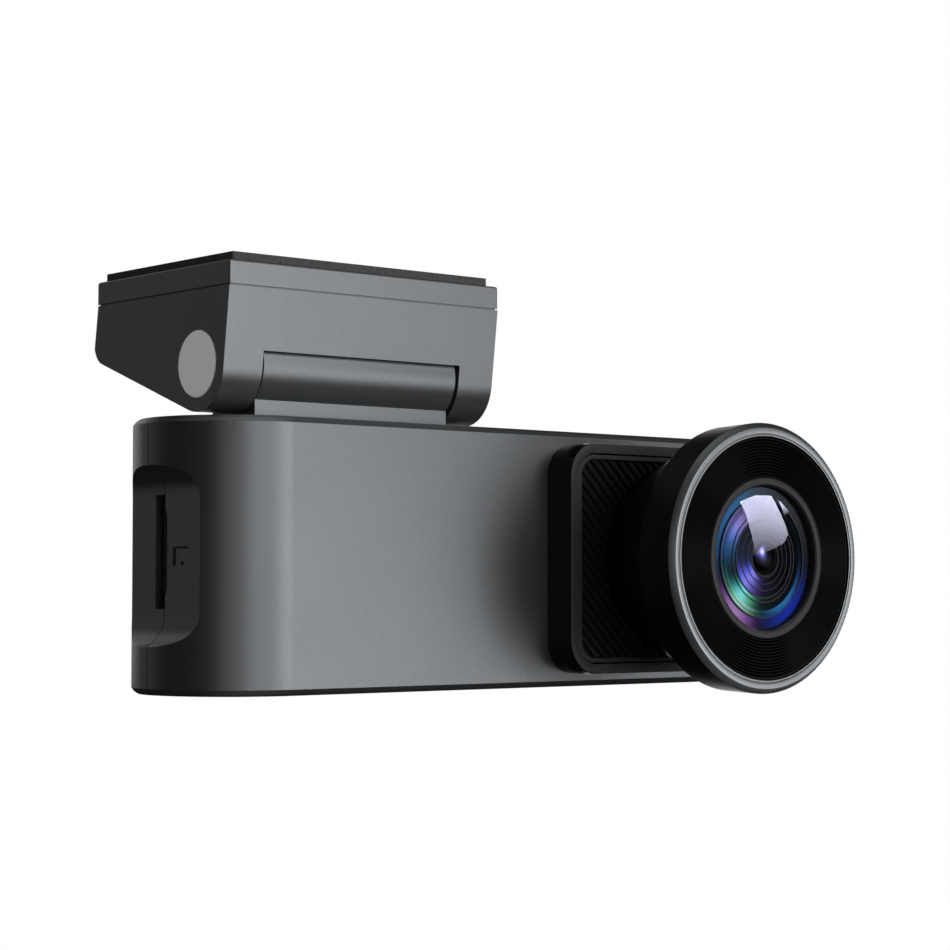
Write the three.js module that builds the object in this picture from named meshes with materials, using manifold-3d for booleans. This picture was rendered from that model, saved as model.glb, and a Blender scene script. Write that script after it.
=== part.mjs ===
// A dash camera: a stick-on bracket, a camera body that tilts on it, a hooded lens,
// and the electronics inside.
// Millimetres. The origin is the centre of the adhesive pad's top face, +X runs along the camera body,
// +Z is up, and the lens looks along -Y.
import * as THREE from 'three';
import { mergeVertices } from 'three/addons/utils/BufferGeometryUtils.js';
import Module from 'manifold-3d';

const wasm = await Module();
wasm.setup();

// Bracket
const padSize = { width: 35.9, depth: 25.6, thickness: 1.0 };
const plateSize = { width: 37.9, depth: 27.4, bottom: -3.4, corner: 1.0, chamfer: 0.3 };
const seamHeight = 0.35; // shadow line between the base plate and the housing
const seamInset = 0.8;
const seamCorner = 0.6;
const hinge = { y: -7.44, z: -11.88 };
const housingRadius = 5.2; // the housing's round front edge, about the hinge axis
const housingLean = THREE.MathUtils.degToRad(7); // front face leans back as it goes down
const undersideRise = THREE.MathUtils.degToRad(19.3); // underside rises to the rear
const housingBack = 13.7;
const housingCorner = 1.6;
const housingChamfer = 0.4;
const hingeWindow = { half: 13.85, top: -10.5, rear: 6.8 };
const cavity = { half: 13.0, front: 1.0, back: 12.1, wall: 1.8 };
const pin = { radius: 1.5, half: 16.9 };
const pinCap = { radius: 3.7, thickness: 1.9, gap: 0.06 };
const washer = { outer: 4.2, inner: 1.7, thickness: 0.3, gap: 0.025 };
const baseScrew = { x: 16.4, rows: [-9.4, 9.0], head: 1.9, headHeight: 1.0, shank: 0.95, length: 6.6 };
const baseScrewHole = { sink: 1.1, depth: 4.2 };
const bracketFloor = -20.0; // below everything on the bracket

// Camera body
const body = { left: -22.5, right: 73.2, front: -15.0, back: 7.8, bottom: -47.89, top: -17.59 };
const bodyChamfer = 0.6;
const wall = 1.6;
const parting = -3.5; // the plane where the two shells meet
const bodyMid = (body.bottom + body.top) / 2;
const knuckle = { radius: 5.0, half: 13.5, front: -10.7, back: -2.5, clearance: 0.3, bore: 0.08 };
const knuckleScrew = { x: 9.0, y: -7.4, head: 1.8, headHeight: 1.0, shank: 1.1, length: 5.0, holeTop: -13.7 };
const recess = { floor: -20.3, flat: 6.3, fillet: 4.0, reach: 12.0 };
const cardSlot = { back: -1.6, z: -32.3, height: 12.5 };
const scoop = { radius: 13.5, rise: 1.0, depth: 0.9 };
const plugRecess = { floor: 71.0, width: 13.0, depth: 7.0, y: -3.3, corner: 3.0 };
const usb = { width: 8.94, thickness: 3.2, length: 7.3, clearance: 0.25, wall: 0.3, mouth: 6.2 };
const usbTongue = { width: 6.6, thickness: 0.7, length: 5.9, setback: 0.6 };
const endWall = 1.6;
const shellScrew = { xs: [-9.0, 58.5], zs: [-22.6, -42.9], head: 1.6, headHeight: 0.9, shank: 0.8 };
const shellScrewFit = { length: 9.0, sink: 1.4, threadEnd: -8.0 };
const bossRadius = 2.2;
const bossOverlap = 0.2; // how far a screw boss runs into the wall that it stands on

// Lens and its surround, about the lens axis
const lens = { x: 42.8, z: bodyMid };
const collar = { width: 34.6, height: 27.2, corner: 4.0, rim: 1.2, ledge: 1.1, front: -19.2, chamfer: 0.3 };
const panel = { gap: 0.15, border: 0.55, front: -19.0, floor: -18.2, back: -17.2, overlap: 0.05 };
const rib = { pitch: 1.0, width: 0.7, rise: 0.4, root: 0.1 };
const barrel = { base: 10.9, rim: 14.9, bore: 8.9, rimY: -28.2, gap: 0.3 };
const hood = { front: -34.2, rear: -28.5, radius: 15.8, rearRadius: 15.6, chamfer: 0.63, lip: 14.25 };
const hoodFloor = 1.3; // the hood's rear wall, which stands on the barrel
const baffle = { inner: 9.5, outer: 14.15, front: -34.0, thickness: 2.4 };
const retainer = { inner: 8.4, outer: 9.4, front: -34.1, back: -30.4, lip: 0.9 };
const frontLens = { radius: 8.3, edge: -33.4, apex: -34.8, back: -31.4, hollow: 1.4, hollowRadius: 6.8 };
const tube = { front: -30.2, step: -20.0, back: -9.8, wide: 8.2, narrow: 6.6, wall: 1.1 };
const tubeSeat = { depth: 1.4, taper: 1.2, relief: 0.1, gap: 0.3 };
const middleLens = { radius: 5.2, front: -27.6, back: -24.4, bulge: 1.0, hollow: 0.8 };
const stop = { radius: 5.2, hole: 1.6, front: -22.4, back: -21.8 };
const rearLens = { radius: 5.2, front: -18.6, back: -15.0, bulge: 1.0 };
const irFilter = { size: 6.4, front: -8.9, back: -8.6 };
const sensor = { width: 8.0, height: 6.6, front: -8.0, back: -7.0 };
const sensorBoard = { size: 19.0, front: -7.0, back: -6.0 };
const holder = { size: 17.0, front: -9.7, bore: 5.2, seat: -9.0, fit: 0.1 };
const chamber = { width: 11.0, height: 9.0, gap: 0.2 }; // the room round the sensor, in the holder

// Electronics behind the lens
const board = { left: -17.6, right: 66.2, front: -1.7, back: -0.7, low: -44.9, high: -20.6 };
const card = { width: 11.0, length: 15.0, thickness: 0.7, lip: 1.0, lipLength: 1.2, outer: -19.6, y: -2.55 };
const cardSocket = { left: -18.4, right: -3.0, width: 14.2, front: -3.35, wall: 0.2, end: 0.8 };
const cardRoom = { rear: 0.6, side: 0.15 };
const button = { x: 4.0, radius: 3.4, flange: 4.2, stem: 1.4, stemLength: 1.0, proud: 0.35, gap: 0.5 };
const buttonFit = { flange: 0.8, collar: 0.5, hole: 0.2, back: 0.05 };
const tactSwitch = { half: 3.0, back: 2.8, plunger: 1.6 };
const lightPipe = { x: 13.0, radius: 0.9, front: 0.4, proud: 0.05 };
const statusLed = { half: 0.8, halfHeight: 0.6, back: 0.1 };
const processor = { left: 20.0, right: 32.0, half: 6.0, back: 0.5, padBack: 1.3 };
const heatSink = { left: 17.0, right: 41.0, half: 9.5, back: 2.5 };
const capacitor = { radius: 4.0, left: 3.0, right: 19.0, y: -7.2, offset: 6.4 };
const antenna = { left: -16.0, right: -8.0, half: 2.0, back: 0.5 };
const cable = { thickness: 0.2, half: 4.0, gap: 0.3, inset: 3.0 };
const speaker = { x: 46.0, radius: 7.0, front: 2.9, back: 6.1 };
const speakerSlot = { width: 0.9, count: 5, pitch: 2.0, length: 9.0 };
const microphone = { x: 8.0, y: -7.0, width: 3.8, depth: 3.0, height: 1.1, hole: 0.5 };

const roundSides = 40;
const pinSides = 20;
const screwSides = 12;
const margin = 1.0; // how far a cutting tool runs past the face that it cuts
const slack = 0.05; // the least gap between parts that fit each other
const screwClear = 0.15;
const rearFace = 4.0; // where the tools that cut only the rear shell's back wall begin
const around = { x: [-60, 120], y: [-60, 60], z: [-80, 0] }; // a box wider than the whole camera

// ---------- solids ----------

function solidOf(geometry) {
  const plain = geometry.index ? geometry.toNonIndexed() : geometry;
  plain.deleteAttribute('normal');
  plain.deleteAttribute('uv');
  const merged = mergeVertices(plain, 1e-4);
  const triVerts = new Uint32Array(merged.index.array);
  const vertProperties = new Float32Array(merged.attributes.position.array);
  const solid = new wasm.Manifold(new wasm.Mesh({ numProp: 3, vertProperties, triVerts }));
  if (solid.volume() > 0) return solid;
  for (let i = 0; i < triVerts.length; i += 3) {
    [triVerts[i + 1], triVerts[i + 2]] = [triVerts[i + 2], triVerts[i + 1]];
  }
  return new wasm.Manifold(new wasm.Mesh({ numProp: 3, vertProperties, triVerts }));
}

function geometryOf(solid) {
  const mesh = solid.getMesh();
  const geometry = new THREE.BufferGeometry();
  geometry.setAttribute('position', new THREE.BufferAttribute(mesh.vertProperties, 3));
  geometry.setIndex(new THREE.BufferAttribute(mesh.triVerts, 1));
  geometry.computeVertexNormals();
  return geometry;
}

function block([x0, x1], [y0, y1], [z0, z1]) {
  const geometry = new THREE.BoxGeometry(x1 - x0, y1 - y0, z1 - z0);
  return solidOf(geometry.translate((x0 + x1) / 2, (y0 + y1) / 2, (z0 + z1) / 2));
}

// An outline drawn in (first, second) coordinates and pushed along the third axis, in the order X, Y, Z.
const axesOf = {
  X: [new THREE.Vector3(0, 1, 0), new THREE.Vector3(0, 0, 1), new THREE.Vector3(1, 0, 0)],
  Y: [new THREE.Vector3(1, 0, 0), new THREE.Vector3(0, 0, 1), new THREE.Vector3(0, 1, 0)],
  Z: [new THREE.Vector3(1, 0, 0), new THREE.Vector3(0, 1, 0), new THREE.Vector3(0, 0, 1)],
};

function pushed(axis, shape, from, to, chamfer = 0, curveSegments = 8) {
  const depth = to - from - 2 * chamfer;
  const settings = { depth, curveSegments, bevelEnabled: chamfer > 0, bevelSegments: 1 };
  Object.assign(settings, { bevelSize: chamfer, bevelThickness: chamfer, bevelOffset: -chamfer });
  const geometry = new THREE.ExtrudeGeometry(shape, settings);
  geometry.translate(0, 0, from + chamfer);
  geometry.applyMatrix4(new THREE.Matrix4().makeBasis(...axesOf[axis]));
  return solidOf(geometry);
}

function rod(axis, radius, from, to, first, second, sides = pinSides) {
  const circle = new THREE.Shape();
  for (let i = 0; i < sides; i += 1) {
    const turn = (2 * Math.PI * i) / sides;
    const point = [first + radius * Math.cos(turn), second + radius * Math.sin(turn)];
    if (i === 0) circle.moveTo(...point);
    else circle.lineTo(...point);
  }
  return pushed(axis, circle, from, to);
}

function polygon(points) {
  return new THREE.Shape(points.map(([a, b]) => new THREE.Vector2(a, b)));
}

function roundedRectangle(a0, a1, b0, b1, r) {
  const shape = new THREE.Shape();
  shape.absarc(a1 - r, b1 - r, r, 0, Math.PI / 2);
  shape.absarc(a0 + r, b1 - r, r, Math.PI / 2, Math.PI);
  shape.absarc(a0 + r, b0 + r, r, Math.PI, 1.5 * Math.PI);
  shape.absarc(a1 - r, b0 + r, r, 1.5 * Math.PI, 2 * Math.PI);
  return shape;
}

// A ring or disc about the lens axis, from a closed profile of [radius, y] points.
function turned(points, sides = roundSides) {
  const profile = [...points, points[0]].map(([r, y]) => new THREE.Vector2(r, y));
  return solidOf(new THREE.LatheGeometry(profile, sides).translate(lens.x, 0, lens.z));
}

function joined(first, ...rest) {
  return rest.reduce((sum, piece) => sum.add(piece), first);
}

function cut(first, ...tools) {
  return tools.reduce((left, tool) => left.subtract(tool), first);
}

// ---------- the model and its finishes ----------

const dashCamera = new THREE.Group();

function finish(color, roughness, metalness = 0) {
  return { color, roughness, metalness };
}

const finishes = {
  greyCase: finish(0x55585b, 0.5),
  foam: finish(0x3c3c3d, 0.95),
  blackPlastic: finish(0x0b0b0c, 0.3),
  satinBlack: finish(0x141415, 0.45),
  steel: finish(0x9a9da0, 0.3, 1),
  grip: finish(0x868686, 0.55),
  glass: finish(0x30405a, 0.05),
  circuitBoard: finish(0x14512c, 0.5),
  chip: finish(0x1a1a1c, 0.6),
  aluminium: finish(0xb9bcc0, 0.4, 1),
  gold: finish(0xc8a24a, 0.35, 1),
  clearPlastic: finish(0xdfe6ea, 0.1),
  thermalFoam: finish(0x6c8ba8, 0.9),
};

function add(name, solid, look, place) {
  const material = new THREE.MeshStandardMaterial(finishes[look]);
  const mesh = new THREE.Mesh(geometryOf(solid), material);
  mesh.name = name;
  if (place) place(mesh);
  dashCamera.add(mesh);
  return mesh;
}

// A screw along its own +Y, its head's top at the origin and its shank towards -Y.
function screw(headRadius, shankRadius, length, headHeight) {
  const profile = [[0, -length], [shankRadius, -length], [shankRadius, -headHeight]];
  profile.push([headRadius, -headHeight * 0.4], [headRadius, 0]);
  profile.push([headRadius * 0.45, 0], [headRadius * 0.45, -headHeight * 0.5], [0, -headHeight * 0.5]);
  const points = profile.map(([r, y]) => new THREE.Vector2(r, y));
  return solidOf(new THREE.LatheGeometry(points, screwSides));
}

// ---------- bracket ----------

function addBasePlate() {
  const halfWidth = plateSize.width / 2;
  const halfDepth = plateSize.depth / 2;
  const pad = padSize;
  const padTopPlane = -pad.thickness;
  add('adhesive_pad', block(
    [-pad.width / 2, pad.width / 2],
    [-pad.depth / 2, pad.depth / 2],
    [padTopPlane, 0],
  ), 'foam');

  const outline = roundedRectangle(-halfWidth, halfWidth, -halfDepth, halfDepth, plateSize.corner);
  const inner = roundedRectangle(
    -halfWidth + seamInset, halfWidth - seamInset, -halfDepth + seamInset, halfDepth - seamInset, seamCorner,
  );
  const slab = pushed('Z', outline, plateSize.bottom, padTopPlane, plateSize.chamfer, 3);
  const foot = pushed('Z', inner, plateSize.bottom - seamHeight, plateSize.bottom, 0, 3);
  let plate = joined(slab, foot);
  for (const [x, y] of baseScrewPlaces()) {
    plate = cut(plate, rod('Z', baseScrew.shank + screwClear, bracketFloor, 0, x, y, screwSides));
    const sinkFloor = padTopPlane - baseScrewHole.sink;
    plate = cut(plate, rod('Z', baseScrew.head + screwClear, sinkFloor, 0, x, y, screwSides));
  }
  add('base_plate', plate, 'greyCase');
}

function baseScrewPlaces() {
  return baseScrew.rows.flatMap((y) => [[-baseScrew.x, y], [baseScrew.x, y]]);
}

function housingOutline(top) {
  const frontAngle = Math.PI + housingLean;
  const bottomAngle = 1.5 * Math.PI + undersideRise;
  const rise = top - hinge.z;
  const frontTop = hinge.y - (housingRadius + rise * Math.sin(housingLean)) / Math.cos(housingLean);
  const backReach = housingBack - hinge.y;
  const backLow = hinge.z + (Math.sin(undersideRise) * backReach - housingRadius) / Math.cos(undersideRise);
  const shape = new THREE.Shape();
  shape.moveTo(frontTop, top);
  shape.lineTo(
    hinge.y + housingRadius * Math.cos(frontAngle),
    hinge.z + housingRadius * Math.sin(frontAngle),
  );
  shape.absarc(hinge.y, hinge.z, housingRadius, frontAngle, bottomAngle);
  shape.lineTo(housingBack - housingCorner, backLow - housingCorner * Math.tan(undersideRise));
  shape.quadraticCurveTo(housingBack, backLow, housingBack, backLow + housingCorner);
  shape.lineTo(housingBack, top);
  return shape;
}

function addHousing() {
  const top = plateSize.bottom - seamHeight;
  const half = plateSize.width / 2;
  const w = hingeWindow;
  const innerRound = knuckle.radius + knuckle.clearance;
  const floorAt = (y) => {
    const reach = y - hinge.y;
    const low = Math.sin(undersideRise) * reach - housingRadius;
    return hinge.z + (low + cavity.wall) / Math.cos(undersideRise);
  };
  const hollow = polygon([
    [cavity.front, floorAt(cavity.front)], [cavity.back, floorAt(cavity.back)],
    [cavity.back, top + margin], [cavity.front, top + margin],
  ]);
  let housing = cut(
    pushed('X', housingOutline(top), -half, half, housingChamfer),
    rod('X', innerRound, -w.half, w.half, hinge.y, hinge.z, roundSides),
    block([-w.half, w.half], [bracketFloor, hinge.y], [bracketFloor, w.top]),
    block([-w.half, w.half], [hinge.y - margin, hinge.y + w.rear], [bracketFloor, hinge.z]),
    pushed('X', hollow, -cavity.half, cavity.half),
    rod('X', pin.radius + slack, -half, half, hinge.y, hinge.z),
  );
  for (const side of [-1, 1]) {
    const faces = [side * (half + margin), side * (half - pinCap.thickness - slack)].sort((a, b) => a - b);
    housing = cut(housing, rod('X', pinCap.radius + pinCap.gap, ...faces, hinge.y, hinge.z, roundSides));
  }
  for (const [x, y] of baseScrewPlaces()) {
    const low = top - baseScrewHole.depth;
    housing = cut(housing, rod('Z', baseScrew.shank + slack, low, top + margin, x, y, screwSides));
  }
  add('hinge_housing', housing, 'greyCase');
}

function addHinge() {
  const half = plateSize.width / 2;
  add('hinge_pin', rod('X', pin.radius, -pin.half, pin.half, hinge.y, hinge.z), 'steel');
  for (const [name, side] of [['left', -1], ['right', 1]]) {
    const faces = [side * half, side * (half - pinCap.thickness)].sort((a, b) => a - b);
    const disc = rod('X', pinCap.radius, ...faces, hinge.y, hinge.z, roundSides);
    add(`pin_cap_${name}`, disc, 'grip');
    const inner = side * (knuckle.half + washer.gap);
    const ring = [inner, inner + side * washer.thickness].sort((a, b) => a - b);
    const plain = rod('X', washer.outer, ...ring, hinge.y, hinge.z, 24);
    const bore = rod('X', washer.inner, ring[0] - margin, ring[1] + margin, hinge.y, hinge.z);
    add(`friction_washer_${name}`, cut(plain, bore), 'steel');
  }
  const b = baseScrew;
  baseScrewPlaces().forEach(([x, y], i) => {
    add(`base_screw_${i + 1}`, screw(b.head, b.shank, b.length, b.headHeight), 'steel', (mesh) => {
      mesh.rotation.x = Math.PI / 2;
      mesh.position.set(x, y, -padSize.thickness - slack);
    });
  });
}

// ---------- tilting knuckle ----------

function addKnuckle() {
  const k = knuckle;
  let piece = joined(
    rod('X', k.radius, -k.half, k.half, hinge.y, hinge.z, roundSides),
    block([-k.half, k.half], [k.front, k.back], [body.top, hinge.z]),
  );
  piece = cut(piece, rod('X', pin.radius + k.bore, -k.half - margin, k.half + margin, hinge.y, hinge.z));
  for (const side of [-1, 1]) {
    const place = [side * knuckleScrew.x, knuckleScrew.y];
    const thread = knuckleScrew.shank + slack;
    piece = cut(piece, rod('Z', thread, body.top - margin, knuckleScrew.holeTop, ...place, screwSides));
  }
  add('hinge_knuckle', piece, 'greyCase');
  [-1, 1].forEach((side, i) => {
    const s = knuckleScrew;
    add(`knuckle_screw_${i + 1}`, screw(s.head, s.shank, s.length, s.headHeight), 'steel', (mesh) => {
      mesh.rotation.x = -Math.PI / 2;
      mesh.position.set(side * s.x, s.y, body.top - wall - s.headHeight - slack);
    });
  });
}

// ---------- shells ----------

function stadium(inset) {
  const r = (body.back - body.front) / 2 - inset;
  const y = (body.back + body.front) / 2;
  const shape = new THREE.Shape();
  const end = (body.back - body.front) / 2;
  shape.absarc(body.right - end, y, r, -Math.PI / 2, Math.PI / 2);
  shape.absarc(body.left + end, y, r, Math.PI / 2, 1.5 * Math.PI);
  return shape;
}

function recessTool() {
  const { floor, flat, fillet, reach } = recess;
  const arcX = floor - fillet;
  const shape = new THREE.Shape();
  shape.moveTo(arcX - reach, bodyMid - flat - fillet);
  shape.lineTo(arcX, bodyMid - flat - fillet);
  shape.absarc(arcX, bodyMid - flat, fillet, -Math.PI / 2, 0);
  shape.absarc(arcX, bodyMid + flat, fillet, 0, Math.PI / 2);
  shape.lineTo(arcX - reach, bodyMid + flat + fillet);
  return pushed('Y', shape, body.front - margin, body.back + margin, 0, 6);
}

function plugRecessTool() {
  const p = plugRecess;
  const outline = roundedRectangle(
    p.y - p.depth / 2, p.y + p.depth / 2, bodyMid - p.width / 2, bodyMid + p.width / 2, p.corner,
  );
  return pushed('X', outline, p.floor, body.right + margin, 0, 4);
}

function usbOpening() {
  const c = usb.clearance;
  const halfT = usb.thickness / 2 + c;
  const halfW = usb.width / 2 + c;
  const { y } = plugRecess;
  const outline = roundedRectangle(y - halfT, y + halfT, bodyMid - halfW, bodyMid + halfW, halfT - slack);
  return pushed('X', outline, plugRecess.floor - endWall - margin, body.right + margin, 0, 4);
}

function wholeCase() {
  const outer = pushed('Z', stadium(0), body.bottom, body.top, bodyChamfer, 14);
  const inside = pushed('Z', stadium(wall), body.bottom + wall, body.top - wall, 0, 10);
  const room = inside.intersect(
    block([recess.floor + endWall, plugRecess.floor - endWall], around.y, around.z),
  );
  const slot = block(
    [recess.floor - margin, recess.floor + endWall + margin],
    [parting, cardSlot.back],
    [cardSlot.z - cardSlot.height / 2, cardSlot.z + cardSlot.height / 2],
  );
  const scoopY = parting - scoop.rise + scoop.radius;
  const nail = rod(
    'X', scoop.radius, recess.floor - margin, recess.floor + scoop.depth, scoopY, cardSlot.z, 80,
  );
  const frontOnly = block(around.x, [around.y[0], parting], around.z);
  return cut(outer, room, recessTool(), plugRecessTool(), usbOpening(), slot, nail.intersect(frontOnly));
}

function shellScrewPlaces() {
  return shellScrew.xs.flatMap((x) => shellScrew.zs.map((z) => [x, z]));
}

function addShells() {
  const whole = wholeCase();
  const front = block(around.x, [around.y[0], parting], around.z);
  const rear = block(around.x, [parting, around.y[1]], around.z);
  let frontShell = whole.intersect(front);
  let rearShell = whole.intersect(rear);
  for (const [x, z] of shellScrewPlaces()) {
    const { head, shank } = shellScrew;
    const { sink, threadEnd } = shellScrewFit;
    const out = body.back + margin;
    const frontBoss = rod('Y', bossRadius, body.front + wall - bossOverlap, board.front, x, z, 16);
    const rearBoss = rod('Y', bossRadius, board.back, body.back - wall + bossOverlap, x, z, 16);
    const thread = rod('Y', shank + slack, threadEnd, board.front + margin, x, z, screwSides);
    const clear = rod('Y', shank + screwClear, board.back - margin, out, x, z, screwSides);
    const headHole = rod('Y', head + screwClear, body.back - sink, out, x, z, 16);
    frontShell = cut(joined(frontShell, frontBoss), thread);
    rearShell = cut(joined(rearShell, rearBoss), clear, headHole);
  }
  const k = knuckleScrew;
  const screwHoles = [-k.x, k.x].map((x) => rod(
    'Z', k.shank + screwClear, body.top - 2 * wall, body.top + margin, x, k.y, screwSides,
  ));
  const lensBore = tube.wide + tubeSeat.gap;
  const lensHole = rod(
    'Y', lensBore, body.front - margin, body.front + wall + margin, lens.x, lens.z, roundSides,
  );
  const m = microphone;
  const soundHole = rod('Z', m.hole, body.bottom - margin, body.bottom + 2 * wall, m.x, m.y, 10);
  add('front_shell', cut(frontShell, ...screwHoles, lensHole, soundHole), 'greyCase');

  rearShell = cut(
    rearShell,
    rod('Y', button.radius + buttonFit.hole, rearFace, body.back + margin, button.x, bodyMid, 28),
    rod('Y', lightPipe.radius + slack, rearFace, body.back + margin, lightPipe.x, bodyMid, 16),
  );
  const slot = speakerSlot;
  const slotX = [speaker.x - slot.length / 2, speaker.x + slot.length / 2];
  for (let i = 0; i < slot.count; i += 1) {
    const z = bodyMid + (i - (slot.count - 1) / 2) * slot.pitch;
    const slotZ = [z - slot.width / 2, z + slot.width / 2];
    rearShell = cut(rearShell, block(slotX, [rearFace, body.back + margin], slotZ));
  }
  add('rear_shell', rearShell, 'greyCase');
  const s = shellScrew;
  const headTop = body.back - shellScrewFit.sink + s.headHeight + slack;
  const { length } = shellScrewFit;
  shellScrewPlaces().forEach(([x, z], i) => {
    add(`shell_screw_${i + 1}`, screw(s.head, s.shank, length, s.headHeight), 'steel', (mesh) => {
      mesh.position.set(x, headTop, z);
    });
  });
}

// ---------- lens surround ----------

function collarOutline(inset) {
  const halfW = collar.width / 2 - inset;
  const halfH = collar.height / 2 - inset;
  return roundedRectangle(
    lens.x - halfW, lens.x + halfW, lens.z - halfH, lens.z + halfH, collar.corner - inset,
  );
}

function addCollar() {
  const ledge = collar.rim + collar.ledge;
  const ring = cut(
    pushed('Y', collarOutline(0), collar.front, body.front, collar.chamfer, 6),
    pushed('Y', collarOutline(collar.rim), collar.front - margin, panel.back, 0, 6),
    pushed('Y', collarOutline(ledge), collar.front - margin, body.front + margin, 0, 6),
  );
  add('lens_collar', ring, 'blackPlastic');

  const border = collar.rim + panel.gap;
  const field = pushed('Y', collarOutline(border + panel.border), panel.front - margin, panel.floor, 0, 6);
  const plate = cut(pushed('Y', collarOutline(border), panel.front, panel.back, 0, 6), field);
  const ribArea = collarOutline(border + panel.border - panel.overlap);
  const ribTop = panel.floor - rib.rise;
  const ribTool = pushed('Y', ribArea, ribTop, panel.floor + rib.root, 0, 6);
  const reach = collar.width;
  const ribs = [];
  for (let offset = -reach; offset <= reach; offset += rib.pitch * Math.SQRT2) {
    const bar = [[offset - reach, reach], [offset - reach + rib.width, reach]];
    bar.push([offset + reach + rib.width, -reach], [offset + reach, -reach]);
    const outline = polygon(bar.map(([x, z]) => [lens.x + x, lens.z + z]));
    ribs.push(pushed('Y', outline, ribTop - margin, panel.floor + margin));
  }
  const bars = joined(...ribs).intersect(ribTool);
  const centre = rod(
    'Y', barrel.base + barrel.gap, panel.front - margin, panel.back + margin, lens.x, lens.z, roundSides,
  );
  add('rib_panel', cut(joined(plate, bars), centre), 'blackPlastic');
}

function addLensHousing() {
  add('lens_barrel', turned([
    [barrel.bore, body.front], [barrel.bore, barrel.rimY], [barrel.rim, barrel.rimY],
    [barrel.base, panel.front], [barrel.base, body.front],
  ]), 'blackPlastic');
  const h = hood;
  add('lens_hood', turned([
    [barrel.bore, h.rear], [barrel.bore, h.rear - hoodFloor], [h.lip, h.rear - hoodFloor], [h.lip, h.front],
    [h.radius - h.chamfer, h.front], [h.radius, h.front + h.chamfer], [h.rearRadius, h.rear],
  ]), 'satinBlack');
  const b = baffle;
  add('baffle_ring', turned([
    [b.inner, b.front], [b.outer, b.front],
    [b.outer, b.front + b.thickness], [b.inner, b.front + b.thickness],
  ]), 'blackPlastic');
  const t = retainer;
  add('lens_retainer', turned([
    [t.inner, t.front], [t.outer, t.front], [t.outer, t.back], [t.inner - t.lip, t.back],
    [t.inner - t.lip, frontLens.back + slack], [t.inner, frontLens.back + slack],
  ]), 'satinBlack');
}

function domeProfile(radius, edge, apex, steps) {
  const points = [];
  for (let i = 0; i <= steps; i += 1) {
    const r = (radius * i) / steps;
    points.push([r, apex + (edge - apex) * (r / radius) ** 2]);
  }
  return points;
}

function lensSolid(radius, frontEdge, frontApex, backEdge, backApex, hollowRadius = radius) {
  const front = domeProfile(radius, frontEdge, frontApex, 5);
  const back = domeProfile(hollowRadius, backEdge, backApex, 4).reverse();
  const rim = hollowRadius < radius ? [[radius, backEdge]] : [];
  const profile = [...front, ...rim, ...back].map(([r, y]) => new THREE.Vector2(r, y));
  return solidOf(new THREE.LatheGeometry(profile, 32).translate(lens.x, 0, lens.z));
}

// A block centred on the lens axis.
function centredBlock(width, height, depth) {
  return block([lens.x - width / 2, lens.x + width / 2], depth, [lens.z - height / 2, lens.z + height / 2]);
}

function addOptics() {
  const f = frontLens;
  add('front_lens', lensSolid(f.radius, f.edge, f.apex, f.back, f.back - f.hollow, f.hollowRadius), 'glass');
  const t = tube;
  const seat = tubeSeat;
  const inside = t.narrow - t.wall;
  add('lens_tube', turned([
    [t.wide - t.wall, t.front], [t.wide, t.front], [t.wide, t.step], [t.narrow, t.step],
    [t.narrow, t.back], [inside, t.back], [inside, t.step - margin],
    [inside + seat.relief, t.step - seat.taper], [inside + seat.relief, t.front + seat.depth],
    [t.wide - t.wall, t.front + seat.depth],
  ]), 'satinBlack');
  const m = middleLens;
  add('middle_lens', lensSolid(m.radius, m.front + m.bulge, m.front, m.back, m.back - m.hollow), 'glass');
  const disc = rod('Y', stop.radius, stop.front, stop.back, lens.x, lens.z, 32);
  const hole = rod('Y', stop.hole, stop.front - margin, stop.back + margin, lens.x, lens.z);
  add('aperture_stop', cut(disc, hole), 'satinBlack');
  const r = rearLens;
  add('rear_lens', lensSolid(r.radius, r.front + r.bulge, r.front, r.back - r.bulge, r.back), 'glass');

  const bore = rod('Y', tube.narrow + holder.fit, holder.front - margin, holder.seat, lens.x, lens.z, 32);
  const window = rod('Y', holder.bore, holder.front, sensorBoard.front + margin, lens.x, lens.z, 32);
  const square = centredBlock(holder.size, holder.size, [holder.front, sensorBoard.front]);
  const room = centredBlock(
    chamber.width, chamber.height, [irFilter.back + chamber.gap, sensorBoard.front + margin],
  );
  add('lens_holder', cut(square, bore, window, room), 'blackPlastic');
  add('ir_filter', centredBlock(irFilter.size, irFilter.size, [irFilter.front, irFilter.back]), 'glass');
  add('image_sensor', centredBlock(sensor.width, sensor.height, [sensor.front, sensor.back]), 'chip');
  const b = sensorBoard;
  add('sensor_board', centredBlock(b.size, b.size, [b.front, b.back]), 'circuitBoard');
}

// ---------- electronics ----------

function addSensorCable() {
  const c = cable;
  const start = lens.x - sensorBoard.size / 2 + c.inset;
  const high = sensorBoard.back + c.gap;
  const low = board.front - c.gap;
  const centre = [[start, high], [start - 6, high], [start - 8, high + 1], [start - 9, low - 1]];
  centre.push([start - 11, low], [start - 14, low]);
  const curve = new THREE.CatmullRomCurve3(centre.map(([x, y]) => new THREE.Vector3(x, y, 0)));
  const path = curve.getPoints(16);
  const upper = path.map((p) => [p.x, p.y - c.thickness / 2]);
  const lower = path.map((p) => [p.x, p.y + c.thickness / 2]).reverse();
  const strip = pushed('Z', polygon([...upper, ...lower]), lens.z - c.half, lens.z + c.half);
  add('sensor_cable', strip, 'gold');
}

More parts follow.
